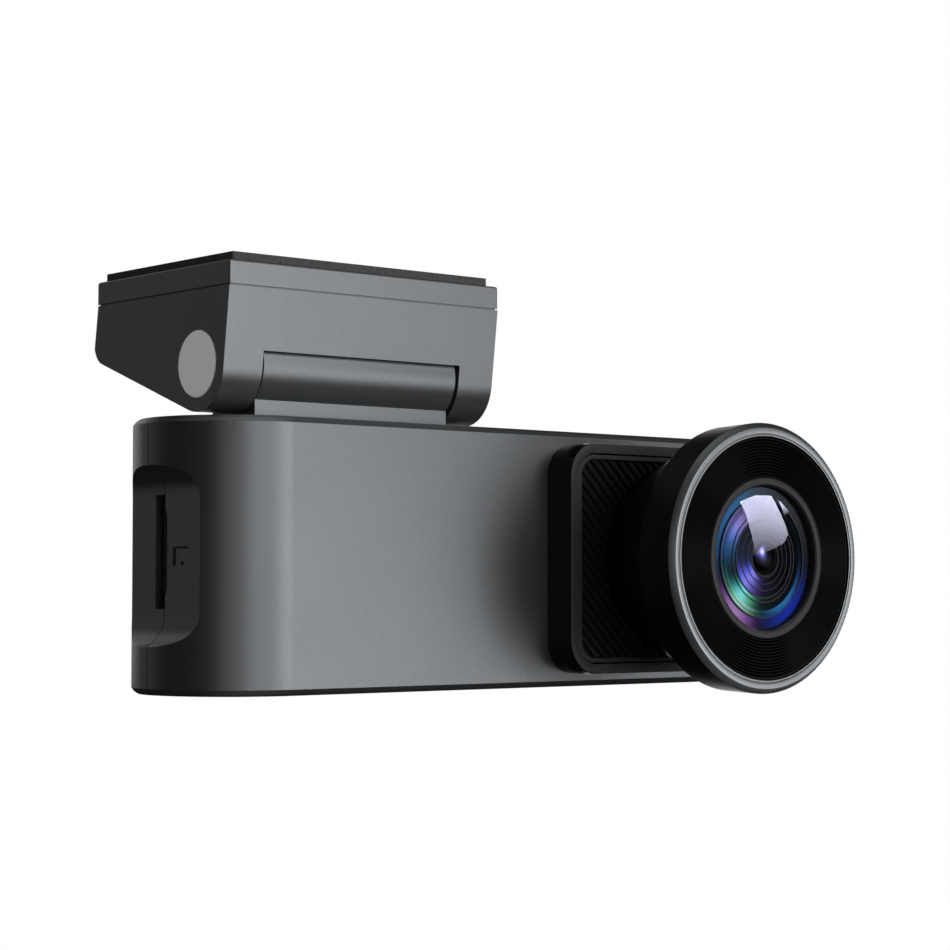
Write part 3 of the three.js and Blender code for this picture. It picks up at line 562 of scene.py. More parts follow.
def makeShells():
    look = caseLook
    blank = makeCaseBlank()
    front = halfCase(blank, "frontShell", -60, parting - look["gap"])
    rear = halfCase(blank, "rearShell", parting + look["gap"], 60)
    bpy.data.objects.remove(blank)

    scoopY = parting - look["scoopRise"] + look["scoopRadius"]
    combine(front, addRod(
        "tool", "X", look["scoopRadius"], -30, look["recessFloor"] + look["scoopDepth"], scoopY,
        look["slotZ"], 256,
    ))
    combine(front, addRod("tool", "Y", look["lensBore"], caseLow.y - 2, caseLow.y + 4, lensX, lensZ, 64))
    combine(front, addRod(
        "tool", "Z", look["microphoneHole"], caseLow.z - 2, caseLow.z + 4, look["microphoneX"],
        look["microphoneY"], 24,
    ))
    soften(front, look["fine"], angle=32)
    finishPiece(front, "camera", ["front_shell"], casePaint)

    halfSlot, slotZ = look["slotHeight"] / 2, look["slotZ"]
    combine(rear, addBlock(
        "tool", (-30, parting - 1, slotZ - halfSlot), (-17, look["slotBack"], slotZ + halfSlot),
    ))
    buttonLow, buttonHigh = nodeBox("power_button")
    pipeLow, pipeHigh = nodeBox("light_pipe")
    buttonX, pipeX = (buttonLow.x + buttonHigh.x) / 2, (pipeLow.x + pipeHigh.x) / 2
    combine(rear, addRod("tool", "Y", look["buttonHole"], 4, 12, buttonX, midZ, 64))
    combine(rear, addRod("tool", "Y", look["pipeHole"], 4, 12, pipeX, midZ, 32))
    speakerLow, speakerHigh = nodeBox("speaker")
    speakerX = (speakerLow.x + speakerHigh.x) / 2
    halfX, halfZ = look["speakerHalfX"], look["speakerHalfZ"]
    for i in range(look["speakerSlots"]):
        z = midZ + (i - (look["speakerSlots"] - 1) / 2) * look["speakerPitch"]
        slot = addBlock("tool", (speakerX - halfX, 4, z - halfZ), (speakerX + halfX, 12, z + halfZ))
        startEdit(slot)
        roundCorners("Y", halfZ - 0.01, 6)
        endEdit()
        combine(rear, slot)
    for i in range(1, 5):
        low, high = nodeBox(f"shell_screw_{i}")
        x, z = (low.x + high.x) / 2, (low.z + high.z) / 2
        sinkY = caseHigh.y - look["screwSinkDepth"]
        combine(rear, addRod("tool", "Y", look["screwSink"], sinkY, 12, x, z, 48))
        combine(rear, addRod("tool", "Y", look["screwHole"], 4, 12, x, z, 24))
    soften(rear, look["fine"], angle=32)
    finishPiece(rear, "camera", ["rear_shell"], casePaint)


# what surrounds the lens
collarLook = {"corner": 4.0, "rim": 1.2, "ledge": 1.1, "edge": 0.22, "fine": 0.06}


def makeCollar():
    look = collarLook
    low, high = nodeBox("lens_collar")
    panelBack = nodeBox("rib_panel")[1].y
    collar = addBlock("lensCollar", low, high)
    startEdit(collar)
    roundCorners("Y", look["corner"], 16)
    pick("FACE", lambda p, n: n.y < -0.99)
    bpy.ops.mesh.inset(thickness=look["rim"] * mm)
    pushOut(0, panelBack - low.y, 0)
    bpy.ops.mesh.inset(thickness=look["ledge"] * mm)
    pushOut(0, high.y - panelBack, 0)
    bpy.ops.mesh.delete(type="FACE")
    pick("FACE", lambda p, n: n.y > 0.99 and p.y > high.y - 0.01)
    bpy.ops.mesh.delete(type="ONLY_FACE")
    pick("EDGE", lambda p, d: p.y > high.y - 0.01 and abs(d.y) < 0.01)
    bpy.ops.mesh.bridge_edge_loops()
    bpy.ops.mesh.select_all(action="SELECT")
    bpy.ops.mesh.normals_make_consistent(inside=False)
    front = low.y + 0.01
    bevelEdges(look["edge"], 3, lambda p, d: p.y < front and abs(d.y) < 0.01 and outsideInset(p, low, high))
    endEdit()
    soften(collar, look["fine"], angle=40)
    collar.data.materials.append(glossBlack)
    # the collar's front edge in the lighter grey, a painted highlight
    coatFaces(collar, rimPaintedHighlightGrey, lambda p, n: n.y < -0.3 and p.y < low.y + 0.25)
    return finishPiece(collar, "camera", ["lens_collar"], None)


def outsideInset(place, low, high, inset=0.3):
    # whether a place is nearer than the inset to the collar's rounded outline
    corner = collarLook["corner"]
    dx = max(low.x + corner - place.x, place.x - high.x + corner, 0)
    dz = max(low.z + corner - place.z, place.z - high.z + corner, 0)
    return math.hypot(dx, dz) > corner - inset


panelLook = {
    "corner": 2.65, "border": 0.55, "floor": 0.8, "edge": 0.08, "pitch": 1.0, "rise": 0.42, "width": 0.74,
    "ribRounding": 0.3, "ribTurn": -45, "root": 0.15, "fieldGap": 0.02, "hole": 11.15,
}


def makeRibPanel():
    look = panelLook
    low, high = nodeBox("rib_panel")
    floorY = low.y + look["floor"]
    panel = addBlock("ribPanel", low, high)
    startEdit(panel)
    roundCorners("Y", look["corner"], 14)
    pick("FACE", lambda p, n: n.y < -0.99)
    bpy.ops.mesh.inset(thickness=look["border"] * mm)
    pushOut(0, look["floor"], 0)
    endEdit()
    soften(panel, look["edge"], angle=40)

    # one rib, a bar with a rounded top, then the rest as an array across it
    reach, half = (high.x - low.x) * 0.75, look["width"] / 2
    rib = addBlock("rib", (-reach, floorY - look["rise"], -half), (reach, floorY + look["root"], half))
    startEdit(rib)
    bevelEdges(look["ribRounding"], 4, lambda p, d: abs(d.x) > 0.99 and p.y < floorY)
    endEdit()
    count = 2 * int(reach / look["pitch"]) + 1
    useModifier(
        rib, "ARRAY", count=count, use_relative_offset=False, use_constant_offset=True,
        constant_offset_displace=(0, 0, look["pitch"] * mm),
    )
    startEdit(rib)
    bpy.ops.mesh.select_all(action="SELECT")
    bpy.ops.transform.translate(value=(0, 0, -look["pitch"] * (count - 1) / 2 * mm))
    turn = math.radians(look["ribTurn"])
    bpy.ops.transform.rotate(value=turn, orient_axis="Y", center_override=(0, 0, 0))
    bpy.ops.transform.translate(value=(lensX * mm, 0, lensZ * mm))
    endEdit()
    inset = look["border"] + look["fieldGap"]
    field = addBlock(
        "tool", (low.x + inset, floorY - 2, low.z + inset), (high.x - inset, floorY + 0.1, high.z - inset),
    )
    startEdit(field)
    roundCorners("Y", look["corner"] - inset, 14)
    endEdit()
    combine(rib, field, "INTERSECT")
    combine(panel, rib, "UNION")
    combine(panel, addRod("tool", "Y", look["hole"], low.y - 5, high.y + 5, lensX, lensZ, 96))
    panel.data.materials.clear()
    panel.data.materials.append(ribBlack)
    # the panel's border in the lighter grey, a painted highlight
    coatFaces(panel, rimPaintedHighlightGrey, lambda p, n: n.y < -0.3 and p.y < low.y + 0.12)
    mend(panel)
    return finishPiece(panel, "camera", ["rib_panel"], None)


barrelLook = {"bore": 8.9, "flare": 14.9, "neck": 10.9, "neckEnd": -19.0, "edge": 0.15}


def makeBarrel():
    look = barrelLook
    low, high = nodeBox("lens_barrel")
    bore, neck = look["bore"], look["neck"]
    profile = [(bore, high.y), (bore, low.y), (look["flare"], low.y), (neck, look["neckEnd"]), (neck, high.y)]
    barrel = spun("lensBarrel", profile, rounding=look["edge"], steps=3)
    return finishPiece(barrel, "camera", ["lens_barrel"], hoodBlack)


hoodLook = {
    "bore": 8.9, "web": 1.3, "lipWidth": 0.95, "chamfer": 0.63, "lineAt": 0.66, "lineWidth": 0.1,
    "lineDepth": 0.12, "landDrop": 0.02, "taper": 0.2, "rearBevel": 0.3, "rearInset": 0.45, "edge": 0.05,
}


def makeHood():
    look = hoodLook
    low, high = nodeBox("lens_hood")
    front, rear = low.y, high.y
    outer = (high.x - low.x) / 2
    lipOuter = outer - look["chamfer"]
    lipInner = lipOuter - look["lipWidth"]
    line = lipOuter - look["lineAt"]
    lineInner, lineFloor = line - look["lineWidth"], front + look["lineDepth"]
    webFront, land = rear - look["web"], front + look["landDrop"]
    profile = [
        (look["bore"], rear), (look["bore"], webFront), (lipInner, webFront), (lipInner, land),
        (lineInner, land),
        (lineInner, lineFloor), (line, lineFloor), (line, front), (lipOuter, front),
        (outer, front + look["chamfer"]), (outer - look["taper"], rear - look["rearBevel"]),
        (outer - look["rearInset"], rear),
    ]
    hood = spun("lensHood", profile, sides=192, rounding=look["edge"])
    hood.data.materials.append(hoodBlack)
    coatFaces(hood, chamferGrey, lambda p, n: n.y < -0.3 and p.y < front + 1.0)
    coatFaces(hood, lipGrey, lambda p, n: n.y < -0.9 and p.y < front + 0.05)
    return finishPiece(hood, "camera", ["lens_hood"], None)


baffleLook = {
    "grooves": 12, "inner": 9.5, "depth": 0.17, "land": 0.34, "valley": 0.67, "border": 0.15, "edge": 0.025,
}


def makeBaffle():
    look = baffleLook
    low, high = nodeBox("baffle_ring")
    outer = (high.x - low.x) / 2
    start = outer - look["border"]
    pitch = (outer - look["inner"] - 2 * look["border"]) / look["grooves"]
    profile = [(outer, high.y), (outer, low.y), (start, low.y)]
    for i in range(look["grooves"]):
        r = start - i * pitch
        profile.append((r - pitch * look["land"], low.y))
        profile.append((r - pitch * look["valley"], low.y + look["depth"]))
        profile.append((r - pitch, low.y))
    profile += [(look["inner"], low.y), (look["inner"], high.y)]
    baffle = spun("baffleRing", profile, sides=192, rounding=look["edge"])
    return finishPiece(baffle, "camera", ["baffle_ring"], baffleBlack)


retainerLook = {
    "bevel": 0.12, "bevelDrop": 0.1, "faceInner": 8.62, "throat": 8.42, "throatDrop": 0.22, "seat": 8.4,
    "seatAt": -31.35, "bore": 7.5, "edge": 0.03,
}


def makeRetainer():
    look = retainerLook
    low, high = nodeBox("lens_retainer")
    outer = (high.x - low.x) / 2
    front = low.y
    profile = [
        (outer, high.y), (outer, front + look["bevelDrop"]), (outer - look["bevel"], front),
        (look["faceInner"], front), (look["throat"], front + look["throatDrop"]),
        (look["seat"], look["seatAt"]),
        (look["bore"], look["seatAt"]), (look["bore"], high.y),
    ]
    ring = spun("lensRetainer", profile, sides=192, rounding=look["edge"])
    return finishPiece(ring, "camera", ["lens_retainer"], retainerBlack)


# the optics
glassLook = {
    "dust": 1.5, "dustFrom": 0.45, "dustTo": 0.8, "smooth": 0.01, "smeared": 0.02, "reflected": "#E9ECFF",
    "through": "#F4F6FA", "index": 1.45,
}


def frontGlass(name):
    # ground and polished glass under a dielectric coating: clear, with a weak sharp reflection
    material, tree = newMaterial(name)
    look = glassLook
    place = addNode(tree, "ShaderNodeTexCoord").outputs["Object"]
    smear = varying(
        tree, place, look["dust"], look["smooth"], look["smeared"], 4.0,
        **{"From Min": look["dustFrom"], "From Max": look["dustTo"]},
    )
    gloss = addNode(tree, "ShaderNodeBsdfAnisotropic", {
        "Color": linear(look["reflected"]), "Roughness": smear,
    })
    clear = addNode(tree, "ShaderNodeBsdfTransparent", {"Color": linear(look["through"])})
    # only the outer side reflects, so light inside the glass isn't trapped
    edge = addNode(tree, "ShaderNodeFresnel", {"IOR": look["index"]})
    behind = addNode(tree, "ShaderNodeNewGeometry").outputs["Backfacing"]
    outside = addNode(tree, "ShaderNodeMath", {0: 1.0, 1: behind}, operation="SUBTRACT")
    share = addNode(tree, "ShaderNodeMath", {
        0: edge.outputs["Fac"], 1: outside.outputs["Value"],
    }, operation="MULTIPLY")
    mix = addNode(tree, "ShaderNodeMixShader", {
        0: share.outputs["Value"], 1: clear.outputs["BSDF"], 2: gloss.outputs["BSDF"],
    })
    addNode(tree, "ShaderNodeOutputMaterial", {"Surface": mix.outputs["Shader"]})
    return material


coatingLook = {"haze": 0.8, "spread": 0.02, "metallic": 0.85, "spotReach": 3}


def paintedReflections(name, stops, roughness=0.3, spot=None):
    # an inner glass surface under an interference coating, metallic: the colours that change round the axis
    # are painted reflections of the lights
    # stops are degrees anticlockwise from +X, seen from the front, and a colour
    # with a spot, the colours change with distance from that point, from -180 at it to 180 at its reach: a
    # painted highlight
    look = coatingLook
    material, tree = newMaterial(name)
    place = addNode(tree, "ShaderNodeTexCoord").outputs["Object"]
    middle = addNode(tree, "ShaderNodeVectorMath", {
        0: place, 1: (lensX * mm, 0, lensZ * mm),
    }, operation="SUBTRACT")
    parts = addNode(tree, "ShaderNodeSeparateXYZ", {"Vector": middle.outputs["Vector"]})
    if spot:
        flat = addNode(tree, "ShaderNodeCombineXYZ", {"X": parts.outputs["X"], "Z": parts.outputs["Z"]})
        away = addNode(tree, "ShaderNodeVectorMath", {
            0: flat.outputs["Vector"], 1: (spot[0] * mm, 0, spot[1] * mm),
        }, operation="DISTANCE")
        turn = addNode(tree, "ShaderNodeMapRange", {
            "Value": away.outputs["Value"], "From Max": look["spotReach"] * mm,
        })
    else:
        angle = addNode(tree, "ShaderNodeMath", {
            0: parts.outputs["Z"], 1: parts.outputs["X"],
        }, operation="ARCTAN2")
        turn = addNode(tree, "ShaderNodeMapRange", {
            "Value": angle.outputs["Value"], "From Min": -math.pi, "From Max": math.pi,
        })
    tint = addNode(tree, "ShaderNodeValToRGB", {"Fac": turn.outputs["Result"]})
    tint.color_ramp.interpolation = "B_SPLINE"
    while len(tint.color_ramp.elements) < len(stops):
        tint.color_ramp.elements.new(0.5)
    for element, (degrees, code) in zip(tint.color_ramp.elements, sorted(stops)):
        element.position = (degrees + 180) / 360
        element.color = linear(code)
    spread = look["spread"]
    rough = varying(tree, place, look["haze"], roughness - spread, roughness + spread, 3.0)
    shader = addNode(tree, "ShaderNodeBsdfPrincipled", {
        "Base Color": tint.outputs["Color"], "Roughness": rough, "Metallic": look["metallic"],
    })
    addNode(tree, "ShaderNodeOutputMaterial", {"Surface": shader.outputs["BSDF"]})
    return material


def domePoints(radius, edge, apex, steps):
    points = []
    for i in range(steps + 1):
        r = radius * i / steps
        points.append((r, apex + (edge - apex) * (r / radius) ** 2))
    return points


frontLensLook = {"edgeFront": -33.4, "edgeRear": -33.3, "wall": 0.12, "ledge": 0.05, "steps": 32}


def makeFrontLens():
    look = frontLensLook
    low, high = nodeBox("front_lens")
    radius = (high.x - low.x) / 2
    front = domePoints(radius, look["edgeFront"], low.y, look["steps"])
    rear = domePoints(radius - look["ledge"], look["edgeRear"], low.y + look["wall"], look["steps"])
    lens = spun("frontLens", [*front, (radius, look["edgeRear"]), *rear[::-1]], closed=False)
    return finishPiece(lens, "camera", ["front_lens"], frontGlass("coatedFrontGlass"))


# the colours round the axis for each zone are painted reflections of the lights; the pupil's colours, by
# distance from pupilSpot, are a painted highlight
innerLook = {
    "outerZone": [
        (-180, "#34678F"), (-172, "#2C4A66"), (-162, "#35304A"), (-150, "#8A4C98"), (-138, "#F09CFA"),
        (-126, "#FFD4FF"), (-114, "#D084E4"), (-102, "#4A3260"), (-90, "#26264C"), (-76, "#223A9A"),
        (-58, "#1D46D8"), (-40, "#1C37C4"), (-22, "#1B2A66"), (-8, "#1A1C30"), (12, "#26262A"),
        (40, "#3E3E40"), (75, "#4A4A4C"), (98, "#566069"), (118, "#4C86A8"), (138, "#4A9AD8"),
        (158, "#3E82BC"), (180, "#34678F"),
    ],
    "middleZone": [
        (-180, "#1B3F58"), (-166, "#0E1A22"), (-154, "#10362E"), (-144, "#34A08C"), (-134, "#90FFF4"),
        (-126, "#A0FFEE"), (-116, "#6CD8A0"), (-104, "#2A6048"), (-92, "#16241F"), (-60, "#14141C"),
        (0, "#17171C"), (60, "#1C1C20"), (92, "#4A4A50"), (112, "#A49CC4"), (130, "#D4B4FF"),
        (148, "#7496EC"), (164, "#24587E"), (180, "#1B3F58"),
    ],
    "arcZone": [
        (-180, "#1C3C52"), (-150, "#1E4A3A"), (-136, "#A8F8CC"), (-122, "#D4FFE4"), (-104, "#3F8560"),
        (-92, "#1E3A3A"), (-78, "#2F6FA6"), (-55, "#58B4F4"), (-35, "#4A9CE4"), (-15, "#2A567C"),
        (0, "#1C2A38"), (40, "#1C1C20"), (92, "#44444A"), (115, "#7E7898"), (135, "#A08CD8"),
        (155, "#3C6EA8"), (180, "#1C3C52"),
    ],
    "innerZone": [
        (-180, "#1A2036"), (-166, "#2C2F66"), (-152, "#5F62D8"), (-138, "#A3A0FF"), (-124, "#8A7CE8"),
        (-108, "#4E4088"), (-92, "#2C2638"), (-60, "#1E1C24"), (0, "#1A1A1E"), (90, "#303034"),
        (130, "#2A2A32"), (160, "#1C2230"), (180, "#1A2036"),
    ],
    "pupil": [
        (-180, "#F4F0FF"), (-150, "#C8C0FF"), (-110, "#5A52A8"), (-60, "#2E2C38"), (-10, "#1E1E20"),
        (60, "#1A1918"), (100, "#2A2622"), (125, "#8A7C6A"), (145, "#3A342E"), (180, "#1A1816"),
    ],
    "pupilSpot": (-0.95, 0.75), "pupilRoughness": 0.22, "ringLight": "#6E6E72", "ringDark": "#5C5C60",
}

# the stack's outline from the rim inwards, as radius and place along the axis, up to the pupil's dome
stackLook = {
    "outline": [
        (8.28, -31.5), (8.28, -33.2), (7.06, -33.12), (7.02, -33.3), (6.92, -33.3), (6.88, -33.15),
        (6.55, -33.2),
        (6.5, -33.26), (6.1, -33.3), (6.05, -33.22), (5.26, -33.34), (5.22, -33.44), (5.12, -33.44),
        (5.08, -33.36), (4.72, -33.4), (4.68, -33.5), (4.58, -33.5), (4.54, -33.38), (3.9, -33.5),
        (3.86, -33.56), (3.78, -33.56), (3.74, -33.48), (3.1, -33.58), (3.06, -33.64), (2.98, -33.64),
        (2.94, -33.56), (2.4, -33.66), (2.3, -33.74), (2.1, -33.74), (2.05, -33.5), (1.95, -33.5),
    ],
    "pupilRadius": 1.95, "pupilBase": -33.55, "pupilHeight": 0.72, "pupilSteps": 12, "rear": -31.5,
    "frontOf": -33, "rings": (6.97, 5.17, 4.63, 3.82, 3.02), "ringHalf": 0.07,
    "zones": {
        "outerZone": (7.06, 8.3), "arcZone": (6.06, 6.9), "middleZone": (4.72, 6.06),
        "innerZone": (2.4, 4.58), "pupil": (-1, 1.96),
    },
}


def makeInnerLenses():
    # the coated surfaces behind the front glass, with the thin bright edges of their mounts
    look, stackShape = innerLook, stackLook
    radius, base, height = stackShape["pupilRadius"], stackShape["pupilBase"], stackShape["pupilHeight"]
    profile = list(stackShape["outline"])
    for i in range(stackShape["pupilSteps"]):
        angle = i / stackShape["pupilSteps"] * math.pi / 2
        profile.append((radius * math.cos(angle), base - height * math.sin(angle)))
    profile += [(0, base - height), (0, stackShape["rear"])]
    stack = spun("innerLenses", profile)
    stack.data.materials.append(retainerBlack)
    zones = stackShape["zones"]
    # each zone gets its painted reflections, the pupil a painted highlight
    mirror = {name: paintedReflections(name + "PaintedReflection", look[name]) for name in zones if name != "pupil"}
    mirror["pupil"] = paintedReflections("pupilPaintedReflection", look["pupil"], look["pupilRoughness"], look["pupilSpot"])

    def reach(p):
        return math.hypot(p.x - lensX, p.z - lensZ)

    for name, (inner, outer) in zones.items():
        coatFaces(
            stack, mirror[name],
            lambda p, n: inner < reach(p) < outer and p.y < stackShape["frontOf"] and n.y < -0.1,
        )
    # the lens edges, ground matt: thin pale rings
    edges = grained("groundGlassEdge", look["ringLight"], look["ringDark"], 0.1, 0.4, 0.1)
    for ring in stackShape["rings"]:
        coatFaces(stack, edges, lambda p, n: abs(reach(p) - ring) < stackShape["ringHalf"] and n.y < -0.9)
    mend(stack)
    return finishPiece(stack, "camera", ["middle_lens"], None, angle=20)


# small fittings
screwLook = {
    "flat": 0.55, "crown": 0.9, "crownDrop": 0.25, "bevelDrop": 0.6, "head": 0.9, "shank": 0.8, "tip": 0.3,
    "tipLength": 0.5, "crossDepth": 0.55, "crossHalf": 0.95, "slotHalf": 0.22, "crossTaper": 0.6,
}


def makeShellScrews():
    # one screw with a cross recess, then three copies
    look = screwLook
    low, high = nodeBox("shell_screw_1")
    x, z = (low.x + high.x) / 2, (low.z + high.z) / 2
    top, radius = high.y, (high.x - low.x) / 2
    headRear = top - look["head"]
    profile = [
        (0, top), (radius * look["flat"], top), (radius * look["crown"], top - look["crownDrop"]),
        (radius, top - look["bevelDrop"]), (radius, headRear), (look["shank"], headRear),
        (look["shank"], low.y + look["tipLength"]), (look["tip"], low.y), (0, low.y),
    ]
    first = spun("shellScrew1", profile, (x, z), sides=40, closed=False)
    for wide, tall in ((look["crossHalf"], look["slotHalf"]), (look["slotHalf"], look["crossHalf"])):
        tool = addBlock("tool", (x - wide, top - look["crossDepth"], z - tall), (x + wide, top + 1, z + tall))
        startEdit(tool)
        pick("FACE", lambda p, n: n.y < -0.9)
        bpy.ops.transform.resize(value=(look["crossTaper"], 1, look["crossTaper"]))
        endEdit()
        combine(first, tool)
    for i in range(2, 5):
        other = nodeBox(f"shell_screw_{i}")[0]
        activate(first)
        bpy.ops.object.duplicate()
        copy = bpy.context.active_object
        copy.name = f"shellScrew{i}"
        copy.location = (other - low) * mm
        bpy.ops.object.transform_apply(location=True)
        finishPiece(copy, "camera", [f"shell_screw_{i}"], platedSteel)
    finishPiece(first, "camera", ["shell_screw_1"], platedSteel)


buttonLook = {
    "radius": 3.4, "dish": 0.25, "dishFlat": 1.6, "dishSide": 0.16, "rimInset": 0.5, "edgeInset": 0.15,
    "edgeDrop": 0.05, "skirtDrop": 0.25, "flange": 0.8,
}


def makePowerButton():
    look = buttonLook
    low, high = nodeBox("power_button")
    x, z = (low.x + high.x) / 2, (low.z + high.z) / 2
    radius, flangeRadius, flangeTop = look["radius"], (high.x - low.x) / 2, low.y + look["flange"]
    profile = [
        (0, high.y - look["dish"]), (look["dishFlat"], high.y - look["dishSide"]),
        (radius - look["rimInset"], high.y), (radius - look["edgeInset"], high.y - look["edgeDrop"]),
        (radius, high.y - look["skirtDrop"]), (radius, flangeTop), (flangeRadius, flangeTop),
        (flangeRadius, low.y), (0, low.y),
    ]
    button = spun("powerButton", profile, (x, z), sides=72, closed=False)
    return finishPiece(button, "power_button", ["power_button"], casePaint)


socketLook = {
    "wall": 0.3, "depth": 6.2, "tongueStart": 0.5, "tongueSet": 0.6, "tongueHalfY": 0.35, "tongueHalfZ": 3.1,
    "tongueEdge": 0.15, "contacts": 12, "contactPitch": 0.5, "contactStart": 4.2, "contactSet": 1.0,
    "contactHalfY": 0.37, "contactFirst": 2.9, "contactWidth": 0.25, "contactEdge": 0.05,
}


def makeSocket():
    # folded sheet shell with a tongue and its contacts
    look = socketLook
    low, high = nodeBox("usb_socket")
    y, z = (low.y + high.y) / 2, (low.z + high.z) / 2
    shell = addBlock("usbSocket", low, high)
    startEdit(shell)
    roundCorners("X", (high.y - low.y) / 2 - 0.01, 12)
    pick("FACE", lambda p, n: n.x > 0.99)
    bpy.ops.mesh.inset(thickness=look["wall"] * mm)
    pushOut(-look["depth"], 0, 0)
    endEdit()
    shell.data.materials.append(nickelSteel)

    halfY, halfZ, tip = look["tongueHalfY"], look["tongueHalfZ"], high.x - look["tongueSet"]
    root = low.x + look["tongueStart"]
    tongue = addBlock("tongue", (root, y - halfY, z - halfZ), (tip, y + halfY, z + halfZ))
    startEdit(tongue)
    bevelEdges(look["tongueEdge"], 2, lambda p, d: p.x > tip - 0.1)
    endEdit()
    tongue.data.materials.append(nylonBlack)

    # one pair of contacts, through the tongue, then the rest as an array
    halfY, start, tip = look["contactHalfY"], high.x - look["contactStart"], high.x - look["contactSet"]
    first = z - look["contactFirst"]
    contact = addBlock("contact", (start, y - halfY, first), (tip, y + halfY, first + look["contactWidth"]))
    startEdit(contact)
    bevelEdges(look["contactEdge"], 2, lambda p, d: p.x > tip - 0.1)
    endEdit()
    useModifier(
        contact, "ARRAY", count=look["contacts"], use_relative_offset=False, use_constant_offset=True,
        constant_offset_displace=(0, 0, look["contactPitch"] * mm),
    )
    contact.data.materials.append(goldContact)
    activate(shell)
    tongue.select_set(True)
    contact.select_set(True)
    bpy.ops.object.join()
    return finishPiece(shell, "camera", ["usb_socket"], None)


cardLook = {
    "corner": 0.6, "gripRadius": 0.25, "gripEnd": 1.5, "gripAt": 0.95, "gripHeight": 0.08, "contacts": 8,
    "firstContact": 1.35, "contactPitch": 1.1, "contactWidth": 0.8, "contactStart": 3.6, "contactSet": 0.7,
    "contactDepth": 0.03, "edge": 0.04,
}


def makeCard():
    look = cardLook
    low, high = nodeBox("memory_card")
    card = addBlock("memoryCard", low, high)
    startEdit(card)
    bevelEdges(look["corner"], 5, lambda p, d: abs(d.y) > 0.99)
    endEdit()
    card.data.materials.append(cardBlack)
    combine(card, addRod(
        "tool", "Z", look["gripRadius"], low.z + look["gripEnd"], high.z - look["gripEnd"],
        low.x + look["gripAt"], low.y - look["gripHeight"], 24,
    ))
    start, end = high.x - look["contactStart"], high.x - look["contactSet"]
    floorY = high.y - look["contactDepth"]
    for i in range(look["contacts"]):
        z = low.z + look["firstContact"] + i * look["contactPitch"]
        combine(card, addBlock("tool", (start, floorY, z), (end, high.y + 1, z + look["contactWidth"])))
    coatFaces(card, goldContact, lambda p, n: n.y > 0.9 and p.y < high.y - 0.01 and p.x > high.x - 4)
    soften(card, look["edge"], angle=40, segments=1)
    return finishPiece(card, "memory_card", ["memory_card"], None)


cardMarkLook = {
    "top": -31.75, "rear": -5.1, "width": 2.9, "height": 2.05, "bar": 0.224, "legWidth": 0.53,
    "dot": 0.24, "dotAt": 0.62, "sunk": 0.04, "proud": 0.03,
}


def makeCardMark():
    # a corner of a card and a dot for its notch, printed on the recess floor beside the slot
    look = cardMarkLook
    x, rear, top, bar = caseLook["recessFloor"], look["rear"], look["top"], look["bar"]
    back, face = x - look["sunk"], x + look["proud"]
    mark = addBlock("cardMark", (back, rear - look["width"], top - bar), (face, rear, top))
    startEdit(mark)
    bpy.ops.mesh.select_all(action="SELECT")
    edgeY = rear - look["legWidth"]
    bpy.ops.mesh.bisect(plane_co=(0, edgeY * mm, 0), plane_no=(0, 1, 0))
    pick("FACE", lambda p, n: n.z < -0.99 and p.y > edgeY)
    pushOut(0, 0, bar - look["height"])
    endEdit()
    dotY, dotZ = rear - look["width"] * look["dotAt"], top - look["height"] + look["dot"]
    dot = addRod("tool", "X", look["dot"], back, face, dotY, dotZ, 20)
    activate(mark)
    dot.select_set(True)
    bpy.ops.object.join()
    return finishPiece(mark, "camera", [], glossBlack)


def paintInside():
    # the CAD parts that keep their shape get the finish of what they are
    finishes = {
        platedSteel: [
            "hinge_pin", "base_screw_1", "base_screw_2", "base_screw_3", "base_screw_4", "knuckle_screw_1",
            "knuckle_screw_2", "friction_washer_left", "friction_washer_right",
        ],
        nickelSteel: ["card_socket", "microphone"],
        canAluminium: ["supercapacitor_1", "supercapacitor_2", "heat_sink"],
        chipEpoxy: ["processor", "image_sensor", "tact_switch"],
        solderMask: ["main_board", "sensor_board"],
        polyimide: ["sensor_cable"],
        gapFiller: ["thermal_pad"],
        nylonBlack: ["lens_holder", "lens_tube", "aperture_stop", "speaker"],
        acrylicClear: ["light_pipe", "status_led", "wifi_antenna", "rear_lens", "ir_filter"],
    }
    for finish, names in finishes.items():
        for name in names:
            for place in nodes[name].material_slots:
                place.material = finish


# the stage: camera, floor and light
viewLook = {
    "place": (-0.1648, -0.2267, -0.03644), "azimuth": 40.236, "elevation": 2.725, "lens": 91.46,
    "sensor": 36, "near": 0.01, "far": 20, "floorZ": -0.5, "floorSize": 6.0,
}


def makeCamera():
    look = viewLook
    data = bpy.data.cameras.new("camera")
    data.lens = look["lens"]
    data.sensor_width = look["sensor"]
    data.clip_start, data.clip_end = look["near"], look["far"]
    eye = bpy.data.objects.new("camera", data)
    bpy.context.scene.collection.objects.link(eye)
    a, e = math.radians(look["azimuth"]), math.radians(look["elevation"])
    forward = Vector((math.sin(a) * math.cos(e), math.cos(a) * math.cos(e), math.sin(e)))
    eye.location = look["place"]
    eye.rotation_euler = forward.to_track_quat("-Z", "Y").to_euler()
    bpy.context.scene.camera = eye


def makeFloor():
    look = viewLook
    bpy.ops.object.select_all(action="DESELECT")
    bpy.ops.mesh.primitive_plane_add(size=look["floorSize"], location=(0, 0, look["floorZ"]))
    floor = placed("floor")
    startEdit(floor)
    bpy.ops.mesh.subdivide(number_cuts=3)
    endEdit()
    # white seamless paper, lit to full white
    material, tree = newMaterial("whiteSeamlessPaper")
    shader = addNode(tree, "ShaderNodeEmission", {"Color": linear("#FFFFFF"), "Strength": 1.0})
    addNode(tree, "ShaderNodeOutputMaterial", {"Surface": shader.outputs["Emission"]})
    floor.data.materials.append(material)
    floor.visible_glossy = False
    floor.visible_diffuse = False
    floor.visible_shadow = False


